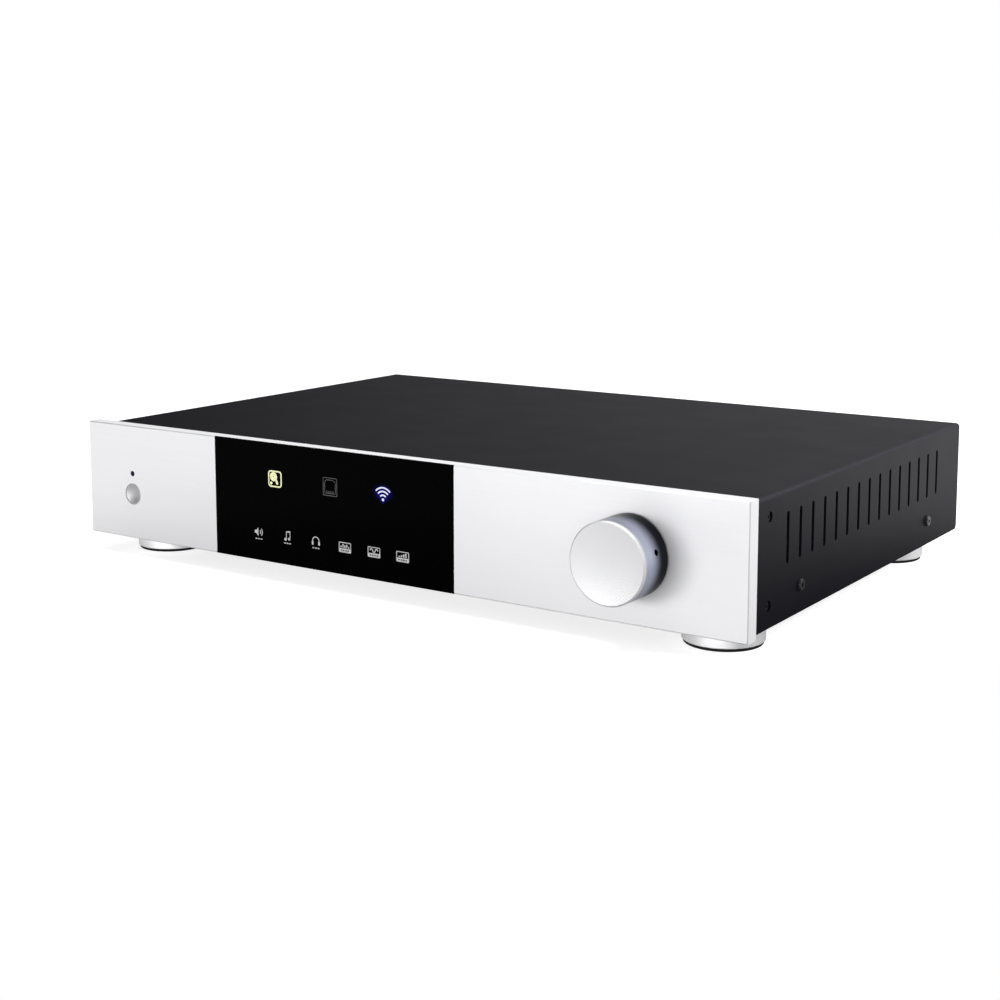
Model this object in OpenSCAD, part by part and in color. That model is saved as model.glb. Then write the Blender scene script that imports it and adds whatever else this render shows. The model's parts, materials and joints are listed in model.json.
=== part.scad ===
// Network music streamer: a full-width home audio component with a thick aluminium
// front panel, a folded and slotted steel cover, turned feet and a volume knob.
// Millimetres, +Z up, front towards -Y. It stands on Z = 0, centred on X and Y.

/* [Front panel] */
// Width of the front panel
panel_w = 430; // [425:1:450]
// Height of the front panel
panel_h = 66.5; // [64:0.5:80]
// Thickness of the front panel
panel_t = 8.5; // [8:0.5:12]
// Chamfer along the front edges of the panel
panel_edge = 0.5; // [0.2:0.1:1]
// How far the panel hangs below the base
panel_drop = 0.7; // [0:0.1:2]

/* [Display window] */
// Width of the black window
window_w = 164.3; // [150:0.1:176]
// Middle of the window, from the middle of the panel
window_x = -31.15; // [-36:0.05:-20]
// Thickness of the window
window_t = 1.2; // [0.8:0.1:2]
// Border of panel left behind each side of the window
mask_inset_x = 14; // [10:0.5:16]
// Border of panel left above and below the light mask
mask_inset_z = 8; // [7.5:0.1:9]
// Distance between the three upper signs
upper_pitch = 37.5; // [34:0.5:44]
// Height of the upper signs above the bottom of the panel
upper_z = 46.7; // [44:0.1:48]
// Distance between the six lower signs
lower_pitch = 20; // [18:0.5:21]
// Height of the lower signs above the bottom of the panel
lower_z = 14.95; // [14.5:0.05:18]

/* [Power button and remote eye] */
// Middle of the button and the eye, in from the left side of the cover
control_x = 32.6; // [31:0.1:52]
// Height of the button above the bottom of the panel
button_z = 26.2; // [24:0.1:28]
// Diameter of the button
button_d = 12; // [10:0.1:14]
// Depth of the hollow in the face of the button
button_dish = 0.9; // [0.4:0.1:1.5]
// How far the button goes in
button_travel = 1.2; // [0.8:0.1:1.6]
// Height of the eye above the bottom of the panel
eye_z = 38.3; // [37.5:0.1:42]
// Diameter of the eye
eye_d = 3.2; // [2.5:0.1:4]

/* [Volume control] */
// Middle of the knob, in from the right side of the cover
knob_x = 58.15; // [52:0.05:92]
// Height of the knob's axis above the bottom of the panel
knob_z = 34.05; // [28:0.05:38]
// Diameter of the knob
knob_d = 40.6; // [34:0.1:46]
// Length of the knob
knob_len = 22; // [20:0.5:28]
// Gap between the knob and the panel
knob_gap = 1.2; // [1:0.1:3]
// Depth of the hollow in the face of the knob
knob_dish = 0.8; // [0.2:0.1:1]
// Diameter of the encoder shaft
shaft_d = 6; // [5:0.1:6.4]
// Diameter of the grub screw
grub_d = 3; // [2.5:0.1:4]
// Angle of the grub screw above the horizontal
grub_angle = 16.5; // [0:0.5:60]
// Distance of the grub screw from the face of the knob
grub_y = 12; // [9:0.5:13]

/* [Cover] */
// Width of the folded cover
cover_w = 424; // [421:0.5:425]
// Depth of the cover behind the front panel
cover_depth = 283.5; // [280:0.5:320]
// Thickness of the cover's sheet
cover_t = 1.2; // [0.8:0.1:1.6]
// Outer radius of the cover's bends
cover_bend = 2.2; // [1.8:0.1:4]
// How far the cover lies below the top of the panel
cover_lip = 2; // [0.5:0.1:4]
// Radius at the lower rear corners of the cover
cover_corner = 3; // [1:0.1:6]
// Number of slots on each side
slot_count = 15; // [6:1:15]
// Width of a slot
slot_w = 3; // [2:0.1:4]
// Height of a slot
slot_h = 25.6; // [16:0.1:28]
// Distance between slots
slot_pitch = 14.7; // [10:0.1:14.8]
// First slot, behind the front panel
slot_first = 39.65; // [38:0.05:42]
// Middle of the slots above the bottom of the panel
slot_z = 40.9; // [39:0.1:42]
// Front side screw, behind the front panel
screw_front = 55; // [45:0.5:80]
// Rear side screw, ahead of the rear edge of the cover
screw_rear = 51.7; // [40:0.1:80]
// Height of the side screws above the base
screw_z = 13.85; // [10:0.05:16]

/* [Base and rear] */
// Thickness of the base's sheet
base_t = 1.2; // [0.8:0.1:1.6]
// Height of the base's side flanges
flange_h = 22; // [19:0.5:24]
// Outer radius of the base's bends
base_bend = 2; // [1.7:0.1:3]
// Thickness of the rear panel
rear_t = 1.5; // [1:0.1:2]
// How far the rear panel lies inside the cover
rear_inset = 1; // [0.5:0.1:2]

/* [Side brackets] */
// Thickness of a bracket
bracket_t = 3; // [2.5:0.1:4]
// Length of a bracket along the cover
bracket_len = 27; // [25:0.5:30]
// Width of a bracket along the panel
bracket_w = 20; // [17:0.5:20]
// Height of a bracket
bracket_h = 58; // [56:0.5:60]
// Bracket screws, behind the front panel
bracket_screw_y = 19.2; // [17:0.1:21]
// Height of the lower bracket screws above the base
bracket_screw_low = 10.9; // [9:0.1:12]
// Height of the upper bracket screws above the base
bracket_screw_high = 53.6; // [46:0.1:54]

/* [Feet] */
// Diameter of a foot
foot_d = 40.6; // [34:0.1:44]
// Height of a foot with its pad
foot_h = 12.2; // [11:0.1:16]
// Middles of the feet, in from the sides of the cover
foot_x = 27.2; // [25:0.1:52]
// Front feet, behind the front panel
foot_front = 28; // [24:0.5:36]
// Rear feet, ahead of the rear edge of the cover
foot_rear = 41.5; // [30:0.5:44]
// Height of the pad that shows below the foot
pad_show = 1.6; // [0.8:0.1:2]
// Width of the pad's ring
pad_w = 8; // [5:0.5:9]

/* [Boards] */
// Thickness of a circuit board
board_t = 1.6; // [1:0.1:2]
// Gap between the front panel and the front board
front_gap = 8; // [7.5:0.1:9]
// Height of the main and supply boards above the base
spacer_h = 9; // [8:0.1:10]
// Depth of the main board
main_depth = 113; // [100:1:120]

/* [Rear sockets] */
// Antenna socket, in from the left side of the cover
antenna_x = 22; // [16:1:32]
// Network socket, to the right of the antenna socket
network_x = 35; // [30:1:40]
// First data socket, to the right of the network socket
data_x = 33; // [29:1:37]
// Distance between the two data sockets
data_pitch = 20; // [18:0.5:22]
// Optical output, to the right of the second data socket
optical_x = 26; // [22:1:30]
// Coaxial output, to the right of the optical output
coax_x = 24; // [20:1:28]
// Distance of the left phono output from the middle
phono_x = 0; // [-10:1:5]
// Distance between the phono outputs
phono_pitch = 22; // [18:0.5:30]
// Diameter of a phono barrel
phono_d = 8.3; // [8:0.1:8.6]
// Mains inlet, in from the right side of the cover
inlet_x = 54; // [48:1:60]
// Mains switch, to the left of the mains inlet
rocker_x = 50; // [46:1:58]
// Height of the mains inlet and switch above the base
inlet_z = 28; // [24:0.5:32]
// How far the mains rocker tips from end to end, in degrees
rocker_tip = 20; // [12:1:24]

/* [Transformer] */
// Diameter of the ring transformer
coil_d = 88; // [70:1:96]
// Height of the ring transformer
coil_h = 34; // [24:0.5:36]
// Middle of the transformer, in from the right side of the cover
coil_x = 82; // [72:1:92]
// Middle of the transformer, behind the front panel
coil_y = 86; // [80:1:90]

/* [Hidden] */
$fn = 48;
arc_sides = 720;
flat_share = 0.05;

// Clearances
slide_gap = 0.2;
sheet_gap = 0.1;
seat_gap = 0.05;
run_gap = 0.05;
cut = 1;

// Heights above the surface that it stands on
base_z = foot_h;
base_top = base_z + base_t;
panel_z = base_z - panel_drop;
panel_top = panel_z + panel_h;
cover_top = panel_top - cover_lip;
cover_in = cover_top - cover_t - sheet_gap;

// Places along Y, from the face of the front panel
cover_rear = panel_t + cover_depth;
rear_y = cover_rear - rear_inset;
rear_in = rear_y - rear_t;
bracket_end = panel_t + bracket_len;
inner_w = cover_w - 2 * cover_t - 2 * sheet_gap;

// Places along X, from the sides of the cover
side_x = cover_w / 2;
control_at = control_x - side_x;
knob_at = side_x - knob_x;
foot_at = side_x - foot_x;
antenna_at = antenna_x - side_x;
network_at = antenna_at + network_x;
data_places = [for (i = [0, 1]) network_at + data_x + i * data_pitch];
optical_at = data_places[1] + optical_x;
coax_at = optical_at + coax_x;
inlet_at = side_x - inlet_x;
rocker_at = inlet_at - rocker_x;
coil_at = side_x - coil_x;

// The model is drawn from the panel's face and then moved so that its middle is at Y = 0
washer_t = 2;
collar_t = 1.2;
barrel_len = 8.8;
phono_reach = washer_t + collar_t + barrel_len;
middle_y = (rear_y + phono_reach - knob_gap - knob_len) / 2;

// Fasteners: machine screws and hexagon spacers
m3 = 3;
m3_head_d = 5.5;
m3_head_h = 1.8;
m4 = 4;
m4_head_d = 7;
m4_head_h = 2.4;
socket_share = 0.42;
socket_floor = 0.4;
head_wall = 0.6;
head_slope = 0.3;
spacer_af = 5.5;
nut_round = 1 / cos(30);
side_head_d = 6;
side_head_h = 1.5;
side_shank = 6;
sunk_d = 5;
sunk_depth = 1;
sunk_seat = 1.2;
sunk_past = 2;

// Display: signs, the mask behind them and their lamps
window_left = window_x - window_w / 2;
mask_w = window_w - 2 * mask_inset_x;
mask_h = panel_h - 2 * mask_inset_z;
upper_cell = [18, 16];
lower_cell = [15, 9];
lamp_size = [3, 1.2, 2];
upper_signs = [for (i = [-1:1]) [window_x + i * upper_pitch, panel_z + upper_z]];
lower_signs = [for (i = [-2.5:2.5]) [window_x + i * lower_pitch, panel_z + lower_z]];

// Front board and what stands on it
board_y = panel_t + front_gap;
board_edge = 5.5;
board_past_button = 11;
board_past_knob = 14;
board_past_mask = 0.5;
board_left = control_at - board_past_button;
board_right = knob_at + board_past_knob;
board_low = panel_z + mask_inset_z - board_past_mask;
board_high = panel_top - mask_inset_z + board_past_mask;
hole_past_window = 8;
receiver_size = [7, 6];
receiver_low = 2.5;
front_holes = [
    for (x = [board_left + board_edge, window_left - hole_past_window, board_right - board_edge])
        for (z = [board_low + board_edge, board_high - board_edge]) [x, z]
];

// Power button
pocket_d = button_d + 4;
pocket_depth = 3.8;
button_seat = panel_t - pocket_depth;
button_flange = 1.5;
button_rim = 0.6;
button_edge = 0.2;
stem_d = 5;
switch_w = 6.2;
switch_len = 5;
plunger_d = 3.4;
plunger_out = 1.8;
plunger_in = 2.2;
switch_face = board_y - switch_len;
stem_end = switch_face - plunger_out;

// Volume control
axis_z = panel_z + knob_z;
nut_depth = 2.5;
web_t = 2.5;
web_rear = nut_depth + web_t;
bush_d = shaft_d + 3;
bush_out = 1;
encoder_w = 14;
can_len = 7;
encoder_pocket = encoder_w + 2;
washer_thin = 0.5;
encoder_nut_t = 2;
encoder_nut_af = bush_d + 3;
nut_pocket_d = encoder_nut_af * nut_round + 2;
knob_rear = -knob_gap;
knob_face = knob_rear - knob_len;
knob_edge = 0.8;
knob_back_edge = 0.3;
shaft_fit = 0.02;
knob_wall = 4;
recess_d = knob_d - 2 * knob_wall;
recess_depth = 5;
hub_d = shaft_d + 7;
hub_step = 1.3;
knob_bore = 17;
shaft_front = knob_rear - knob_bore + 0.5;
shaft_rear = web_rear + can_len - 1.5;
shaft_flat = 1;
grub_len = 6;
grub_socket = 0.55;
grub_seat = shaft_d / 2 - shaft_flat;

// Brackets
bracket_x = inner_w / 2;
bracket_edge = 7;
bracket_end_in = 12;
panel_screw_x = bracket_x - bracket_w + bracket_edge;
panel_screw_z = [base_top + bracket_end_in, base_top + bracket_h - bracket_end_in];
panel_screw_in = 4.5;
side_screws = [for (y = [panel_t + screw_front, cover_rear - screw_rear]) [y, base_z + screw_z]];
sunk_screws = [for (z = [bracket_screw_low, bracket_screw_high]) [panel_t + bracket_screw_y, base_z + z]];

// Base
front_flange_h = 6;
rear_flange_h = 7.5;
rear_screw_up = 4;
rear_screw_z = base_top + rear_screw_up;
rear_screw_in = 6;
rear_screw_side = 8;
rear_screw_end = inner_w / 2 - rear_screw_side;
rear_screw_x = [-rear_screw_end, -inner_w / 6, inner_w / 6, rear_screw_end];

// Feet
neck_d = foot_d - 7;
neck_h = 1;
foot_edge = 0.4;
pad_in = 0.8;
pad_edge = 0.3;
pad_d = foot_d - 2 * pad_in;
pad_bore = pad_d - 2 * pad_w;
pad_seat = 1;
foot_head_in = 4.5;
foot_head_z = foot_h - foot_head_in;
foot_nut_t = 3;
foot_places = [
    [-foot_at, panel_t + foot_front], [foot_at, panel_t + foot_front],
    [-foot_at, cover_rear - foot_rear], [foot_at, cover_rear - foot_rear],
];

// Main board, between the antenna and the phono outputs
board_grip = 3.5;
board_z = base_top + spacer_h;
board_top = board_z + board_t;
main_side = 20;
main_gap = 1;
main_edge = 7;
main_edge_rear = 8;
main_left = network_at - main_side;
main_right = phono_x + phono_pitch + main_side;
main_rear = rear_in - main_gap;
main_front = main_rear - main_depth;
main_holes = [
    for (x = [main_left + main_edge, main_right - main_edge])
        for (y = [main_front + main_edge, main_rear - main_edge_rear]) [x, y]
];
chip_w = 24;
chip_h = 2;
chip_x = (main_left + main_right) / 2;
chip_in = 42;
chip_y = main_front + chip_in;
sink_w = 44;
sink_h = 20;
sink_base = 3;
sink_fins = 9;
sink_fin_t = 1.4;

// Ribbon from the front board to the main board
ribbon_w = 26;
ribbon_t = 1;
ribbon_x = window_x;
ribbon_plug = [ribbon_w + 4, 6, 5];
ribbon_top = panel_z + panel_h / 2;
ribbon_bend = (ribbon_top - board_top - ribbon_plug[1]) / 4;
ribbon_drop = board_y + board_t + ribbon_plug[1] + ribbon_bend;
ribbon_run = board_top + ribbon_plug[1] + ribbon_bend;
ribbon_in = 12;
ribbon_end = main_front + ribbon_in;

// Supply board and its capacitors
supply_w = 120;
supply_in = 16;
supply_edge = 6;
supply_behind_coil = 8;
supply_clear_rear = 66;
supply_right = side_x - supply_in;
supply_left = supply_right - supply_w;
supply_front = panel_t + coil_y + coil_d / 2 + supply_behind_coil;
supply_rear = rear_in - supply_clear_rear;
supply_middle = (supply_front + supply_rear) / 2;
supply_holes = [
    for (x = [supply_left + supply_edge, supply_right - supply_edge])
        for (y = [supply_front + supply_edge, supply_rear - supply_edge]) [x, y]
];
cap_d = 18;
cap_h = 28;
cap_groove = 0.8;
cap_first = 24;
cap_pitch = cap_d + 4;

// Transformer
coil_bore = 28;
coil_round = 9;
coil_pad_t = 1.5;
coil_bolt_d = 6;
coil_z = base_top + coil_pad_t;
clamp_z = coil_z + coil_h + coil_pad_t;
clamp_t = 1.5;
clamp_rim = 12;
clamp_d = coil_d - 2 * clamp_rim;
clamp_dish = 3;
clamp_flat = coil_bolt_d + 6;
bolt_head_d = 11;
bolt_head_h = 3.5;
bolt_nut_af = 10;
bolt_nut_t = 5;

// Rear sockets
jack_size = [16, 21, 13.6];
jack_out = 0.6;
jack_floor = 2.2;
jack_hole = [11.9, 13, 8.4];
jack_latch = [6, 13, 2.2];
usb_size = [13.2, 14, 5.9];
usb_wall = 0.5;
usb_out = 0.6;
usb_lift = 1;
usb_foot = [11.2, 8];
tongue_size = [11, 9, 1.9];
optical_size = [10, 14, 10.5];
optical_out = 0.8;
optical_hole = [7.6, 11, 7.8];
optical_port = 3.2;
optical_port_in = 2;
socket_rise = 12;
socket_z = board_top + socket_rise;
phono_bore = 6.6;
phono_pin = 3.3;
phono_edge = 0.3;
phono_core_in = 1;
phono_collar = 11;
phono_washer_d = 14;
phono_stem = 6.4;
phono_stem_in = 9;
stem_nut_af = 10;
stem_nut_t = 2.4;
phono_places = [coax_at, phono_x, phono_x + phono_pitch];
antenna_d = 6.35;
antenna_out = 10;
antenna_bore = 4.6;
antenna_hex = 8;
antenna_seat = 2;
antenna_room = 6;
antenna_pin = 1.6;
antenna_pin_in = 1;

// Mains inlet and rocker
mains_z = base_z + inlet_z;
inlet_flange = [31, 3, 24];
inlet_ear_r = 5;
inlet_body = [27.6, 20, 20.6];
inlet_hole = [24.4, 17, 16.8];
inlet_cut = 4.5;
inlet_screws_apart = 40;
pin_size = [2, 15, 4];
pin_side = 7;
pin_rise = 2;
pin_tab = 8;
rocker_size = [10, 15.6];
rocker_wall = 1.3;
rocker_room = 0.35;
rocker_sweep = 1;
rocker_bezel = [3.4, 2, 3.4];
rocker_depth = 18;
rocker_crest = 1.4;
rocker_dip = 0.2;
rocker_back = [1.5, 6];
rocker_narrow = [0.9, 0.4];
rocker_pivot_d = 2.4;
rocker_pivot_in = 1;
rocker_hole = [rocker_size[0] + 2 * rocker_room, rocker_size[1] + 2 * rocker_sweep];
rocker_body = [rocker_hole[0] + 2 * rocker_wall, rocker_hole[1] + 2 * rocker_wall];

// Wire leads inside the case
wire_d = 2.4;
coax_wire_d = 1.4;
wire_bend = 4;
wire_pitch = 3.2;
sleeve_size = [3.4, 8, 5];
sleeve_rise = 5;
sleeve_side = 4;
mains_deep = [31, 23];
earth_deep = 35;
lug_d = 8;
lug_t = 1.2;
shell_h = 8;
shell_t = 7;
terminal_in = 8;
coil_lead_up = 6;
coil_lead_z = board_top + shell_h + coil_lead_up;
link_up = 12;
link_z = board_top + shell_h + link_up;
link_in = 26.5;
link_y = main_front + link_in;
coax_plug_d = 4;
coax_plug_h = 2;
coax_in = 24;

// Helpers: extrusions, rods and turned forms along the three axes
module placed() {
    translate([0, -middle_y, 0]) children();
}

module along_x(x, len) {
    translate([x, 0, 0]) rotate([90, 0, 90]) linear_extrude(len) children();
}

module along_y(y, len) {
    translate([0, y + len, 0]) rotate([90, 0, 0]) linear_extrude(len) children();
}

module rod_x(d, x, len, y, z) {
    translate([x, y, z]) rotate([0, 90, 0]) cylinder(d = d, h = len);
}

module rod_y(d, x, y, len, z) {
    translate([x, y, z]) rotate([-90, 0, 0]) cylinder(d = d, h = len);
}

module hex_y(af, x, y, len, z) {
    translate([x, y, z]) rotate([-90, 0, 0]) cylinder(d = af * nut_round, h = len, $fn = 6);
}

module turned_y(x, y, z) {
    translate([x, y, z]) rotate([-90, 0, 0]) rotate_extrude() children();
}

// The part of a turned profile that a hollow face takes away: an arc across the radius, with a
// small flat in the middle where the tool stops
module hollow(r, depth) {
    arc_r = (r * r + depth * depth) / (2 * depth);
    flat_r = r * flat_share;
    flat_y = sqrt(arc_r * arc_r - flat_r * flat_r) - arc_r + depth;
    intersection() {
        translate([0, depth - arc_r]) circle(arc_r, $fn = arc_sides);
        translate([0, -depth]) square([2 * r, depth + flat_y]);
    }
}

// A block by its middle in X, its low corner in Y and Z, and its size
module block(x, y, z, size) {
    translate([x - size[0] / 2, y, z]) cube(size);
}

// A machine screw along -Z with its head's underside at the origin
module pan_screw(d, head_d, head_h, len) {
    difference() {
        rotate_extrude() polygon([
            [0, -len], [d / 2, -len], [d / 2, 0], [head_d / 2, 0],
            [head_d / 2, head_h * head_wall], [head_d / 2 - head_h * head_slope, head_h], [0, head_h],
        ]);
        translate([0, 0, head_h * socket_floor])
            cylinder(d = head_d * socket_share, h = head_h, $fn = 6);
    }
}

// A hexagon spacer along +Z with a screw hole right through it
module hex_spacer(len) {
    difference() {
        cylinder(d = spacer_af * nut_round, h = len, $fn = 6);
        translate([0, 0, -cut]) cylinder(d = m3 + 2 * seat_gap, h = len + 2 * cut);
    }
}

// A bent sheet's outline seen from the front, standing on low, with its top corners rounded
module folded_outline(w, low, top, bend) {
    translate([-w / 2, low]) square([w, top - bend - low]);
    translate([bend - w / 2, low]) square([w - 2 * bend, top - low]);
    for (side = [-1, 1]) {
        translate([side * (w / 2 - bend), top - bend]) circle(bend);
    }
}

// Front panel with its window recess, bores and pockets
function edge_profile(low, high) = [
    [panel_edge, low], [panel_t, low], [panel_t, high], [panel_edge, high],
    [0, high - panel_edge], [0, low + panel_edge],
];

module front_panel() {
    color("silver") placed() difference() {
        intersection() {
            along_x(-panel_w / 2, panel_w) polygon(edge_profile(panel_z, panel_top));
            translate([0, 0, panel_z]) mirror([1, -1, 0])
                linear_extrude(panel_h) polygon(edge_profile(-panel_w / 2, panel_w / 2));
        }
        block(window_x, -cut, panel_z - cut, [window_w, window_t + cut, panel_h + 2 * cut]);
        block(window_x, 0, panel_z + mask_inset_z, [mask_w, panel_t + cut, mask_h]);
        rod_y(eye_d, control_at, -cut, panel_t + 2 * cut, panel_z + eye_z);
        rod_y(button_d + 2 * slide_gap, control_at, -cut, panel_t + 2 * cut, panel_z + button_z);
        rod_y(pocket_d, control_at, button_seat, panel_t, panel_z + button_z);
        rod_y(nut_pocket_d, knob_at, -cut, nut_depth + cut, axis_z);
        rod_y(bush_d + 2 * sheet_gap, knob_at, 0, panel_t, axis_z);
        block(knob_at, web_rear, axis_z - encoder_pocket / 2, [encoder_pocket, panel_t, encoder_pocket]);
        for (side = [-1, 1]) for (z = panel_screw_z) {
            rod_y(m4 + 2 * seat_gap, side * panel_screw_x, panel_t - panel_screw_in - cut, panel_t, z);
        }
    }
}

module display_window() {
    color("black") placed()
        block(window_x, 0, panel_z, [window_w - 2 * seat_gap, window_t, panel_h]);
}

// Light mask: one cell for each sign, so that no lamp lights its neighbour
module light_mask() {
    color("dimgray") placed() difference() {
        block(window_x, window_t, panel_z + mask_inset_z + seat_gap,
            [mask_w - 2 * seat_gap, board_y - window_t, mask_h - 2 * seat_gap]);
        for (p = upper_signs) lamp_cell(p, upper_cell);
        for (p = lower_signs) lamp_cell(p, lower_cell);
    }
}

module lamp_cell(p, size) {
    block(p[0], 0, p[1] - size[1] / 2, [size[0], board_y + cut, size[1]]);
}

module indicator_lamps() {
    color("lightyellow") placed() for (p = concat(upper_signs, lower_signs)) {
        block(p[0], board_y - lamp_size[1], p[1] - lamp_size[2] / 2, lamp_size);
    }
}

module eye_lens() {
    color("darkslateblue") placed()
        rod_y(eye_d - 2 * seat_gap, control_at, slide_gap, panel_t, panel_z + eye_z);
}

module eye_receiver() {
    receiver_y = panel_t + slide_gap;
    color("gray") placed() block(control_at, receiver_y, panel_z + eye_z - receiver_low,
        [receiver_size[0], board_y - receiver_y, receiver_size[1]]);
}

// Power button: a dished cap with a flange behind the panel and a stem to the switch
module power_button() {
    cap_r = button_d / 2;
    flange_r = pocket_d / 2 - slide_gap;
    flange_y = button_seat + sheet_gap;
    color("silver") placed() turned_y(control_at, 0, panel_z + button_z) difference() {
        polygon([
            [0, 0], [cap_r - button_edge, 0], [cap_r, button_edge], [cap_r, flange_y],
            [flange_r, flange_y], [flange_r, flange_y + button_flange],
            [stem_d / 2, flange_y + button_flange], [stem_d / 2, stem_end], [0, stem_end],
        ]);
        hollow(cap_r - button_rim, button_dish);
    }
}

module button_switch() {
    color("dimgray") placed() difference() {
        block(control_at, switch_face, panel_z + button_z - switch_w / 2, [switch_w, switch_len, switch_w]);
        rod_y(plunger_d + 2 * sheet_gap, control_at, switch_face - cut,
            plunger_in + button_travel + slide_gap + cut, panel_z + button_z);
    }
}

module switch_plunger() {
    color("white") placed()
        rod_y(plunger_d, control_at, stem_end, plunger_out + plunger_in, panel_z + button_z);
}

module front_board() {
    color("darkgreen") placed() difference() {
        translate([board_left, board_y, board_low])
            cube([board_right - board_left, board_t, board_high - board_low]);
        for (p = front_holes) rod_y(m3 + 2 * sheet_gap, p[0], board_y - cut, board_t + 2 * cut, p[1]);
    }
}

// Volume knob: turned, with a dished face, a recess behind and a hub on the shaft
module volume_knob() {
    r = knob_d / 2;
    bore_r = shaft_d / 2 + shaft_fit;
    color("silver") placed() difference() {
        turned_y(knob_at, knob_face, axis_z) difference() {
            polygon([
                [0, 0], [r - knob_edge, 0], [r, knob_edge], [r, knob_len - knob_back_edge],
                [r - knob_back_edge, knob_len], [recess_d / 2, knob_len],
                [recess_d / 2, knob_len - recess_depth], [hub_d / 2, knob_len - recess_depth],
                [hub_d / 2, knob_len - hub_step], [bore_r, knob_len - hub_step],
                [bore_r, knob_len - knob_bore], [0, knob_len - knob_bore],
            ]);
            hollow(r - knob_edge, knob_dish);
        }
        translate([knob_at, knob_face + grub_y, axis_z]) rotate([0, 90 - grub_angle, 0])
            cylinder(d = grub_d + 2 * seat_gap, h = knob_d);
    }
}

module knob_grub_screw() {
    color("dimgray") placed() translate([knob_at, knob_face + grub_y, axis_z]) rotate([0, 90 - grub_angle, 0])
        difference() {
            translate([0, 0, grub_seat]) cylinder(d = grub_d, h = grub_len);
            translate([0, 0, grub_seat + grub_len - grub_d / 2])
                cylinder(d = grub_d * grub_socket, h = grub_d, $fn = 6);
        }
}

module encoder_shaft() {
    color("gainsboro") placed() difference() {
        rod_y(shaft_d, knob_at, shaft_front, shaft_rear - shaft_front, axis_z);
        translate([knob_at, shaft_front - cut, axis_z]) rotate([0, -grub_angle, 0])
            translate([grub_seat, 0, -shaft_d])
                cube([shaft_d, knob_rear - hub_step - shaft_front, 2 * shaft_d]);
    }
}

module encoder_body() {
    foot_w = encoder_w - 2;
    color("darkgray") placed() difference() {
        union() {
            rod_y(bush_d, knob_at, -bush_out, web_rear + bush_out + cut, axis_z);
            block(knob_at, web_rear, axis_z - encoder_w / 2, [encoder_w, can_len, encoder_w]);
            block(knob_at, web_rear + can_len, axis_z - foot_w / 2,
                [foot_w, board_y - web_rear - can_len, foot_w]);
        }
        rod_y(shaft_d + 2 * run_gap, knob_at, -bush_out - cut,
            shaft_rear + bush_out + cut + slide_gap, axis_z);
    }
}

module encoder_nut() {
    color("gainsboro") placed() difference() {
        hex_y(encoder_nut_af, knob_at, nut_depth - washer_thin - encoder_nut_t, encoder_nut_t, axis_z);
        rod_y(bush_d + 2 * seat_gap, knob_at, -panel_t, 2 * panel_t, axis_z);
    }
}

module encoder_washer() {
    color("gainsboro") placed() difference() {
        rod_y(encoder_nut_af * nut_round, knob_at, nut_depth - washer_thin, washer_thin, axis_z);
        rod_y(bush_d + 2 * seat_gap, knob_at, -panel_t, 2 * panel_t, axis_z);
    }
}

// Cover: one folded sheet, with a row of round-ended slots and screw holes on each side
module top_cover() {
    color("#1c1c1f") placed() difference() {
        along_y(panel_t, cover_depth) difference() {
            folded_outline(cover_w, base_z, cover_top, cover_bend);
            folded_outline(cover_w - 2 * cover_t, base_z - cut, cover_top - cover_t, cover_bend - cover_t);
        }
        for (i = [0:slot_count - 1]) side_slot(panel_t + slot_first + i * slot_pitch);
        for (p = side_screws) rod_x(m3 + 4 * sheet_gap, -cover_w, 2 * cover_w, p[0], p[1]);
        for (p = sunk_screws) rod_x(sunk_d + 2 * sheet_gap, -cover_w, 2 * cover_w, p[0], p[1]);
        difference() {
            block(0, cover_rear - cover_corner, base_z - cut,
                [2 * cover_w, cover_corner + cut, cover_corner + cut]);
            rod_x(2 * cover_corner, -2 * cover_w, 4 * cover_w,
                cover_rear - cover_corner, base_z + cover_corner);
        }
    }
}

module side_slot(y) {
    z = panel_z + slot_z;
    straight = slot_h - slot_w;
    block(0, y - slot_w / 2, z - straight / 2, [2 * cover_w, slot_w, straight]);
    for (end = [-1, 1]) rod_x(slot_w, -cover_w, 2 * cover_w, y, z + end * straight / 2);
}

// Base: a tray with side flanges inside the cover, a front lip and a rear lip
module base_tray() {
    flange_top = base_z + flange_h;
    color("#2a2a2e") placed() difference() {
        union() {
            along_y(panel_t, rear_in - panel_t) mirror([0, 1]) difference() {
                folded_outline(inner_w, -flange_top, -base_z, base_bend);
                folded_outline(inner_w - 2 * base_t, -flange_top - cut, -base_top, base_bend - base_t);
            }
            block(0, rear_in - cut, base_z, [inner_w - 2 * base_bend, rear_t + cut, base_t]);
            block(0, panel_t, base_z, [inner_w - 2 * bracket_w - 2, base_t, front_flange_h]);
            block(0, rear_in - base_t, base_z, [inner_w - 2 * base_bend, base_t, rear_flange_h]);
        }
        for (side = [-1, 1]) {
            block(side * inner_w / 2, panel_t - cut, base_top,
                [2 * bracket_w + cut, bracket_len + 2 * cut, bracket_h]);
        }
        for (p = side_screws) rod_x(m3 + 2 * seat_gap, -cover_w, 2 * cover_w, p[0], p[1]);
        for (p = foot_places) base_hole(p, m4);
        for (p = concat(main_holes, supply_holes)) base_hole(p, m3);
        base_hole([coil_at, panel_t + coil_y], coil_bolt_d);
        for (x = rear_screw_x) {
            rod_y(m3 + 2 * seat_gap, x, rear_in - base_t - cut, base_t + 2 * cut, rear_screw_z);
        }
    }
}

module base_hole(p, d) {
    translate([p[0], p[1], base_z - cut]) cylinder(d = d + 2 * sheet_gap, h = base_t + 2 * cut);
}

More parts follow.
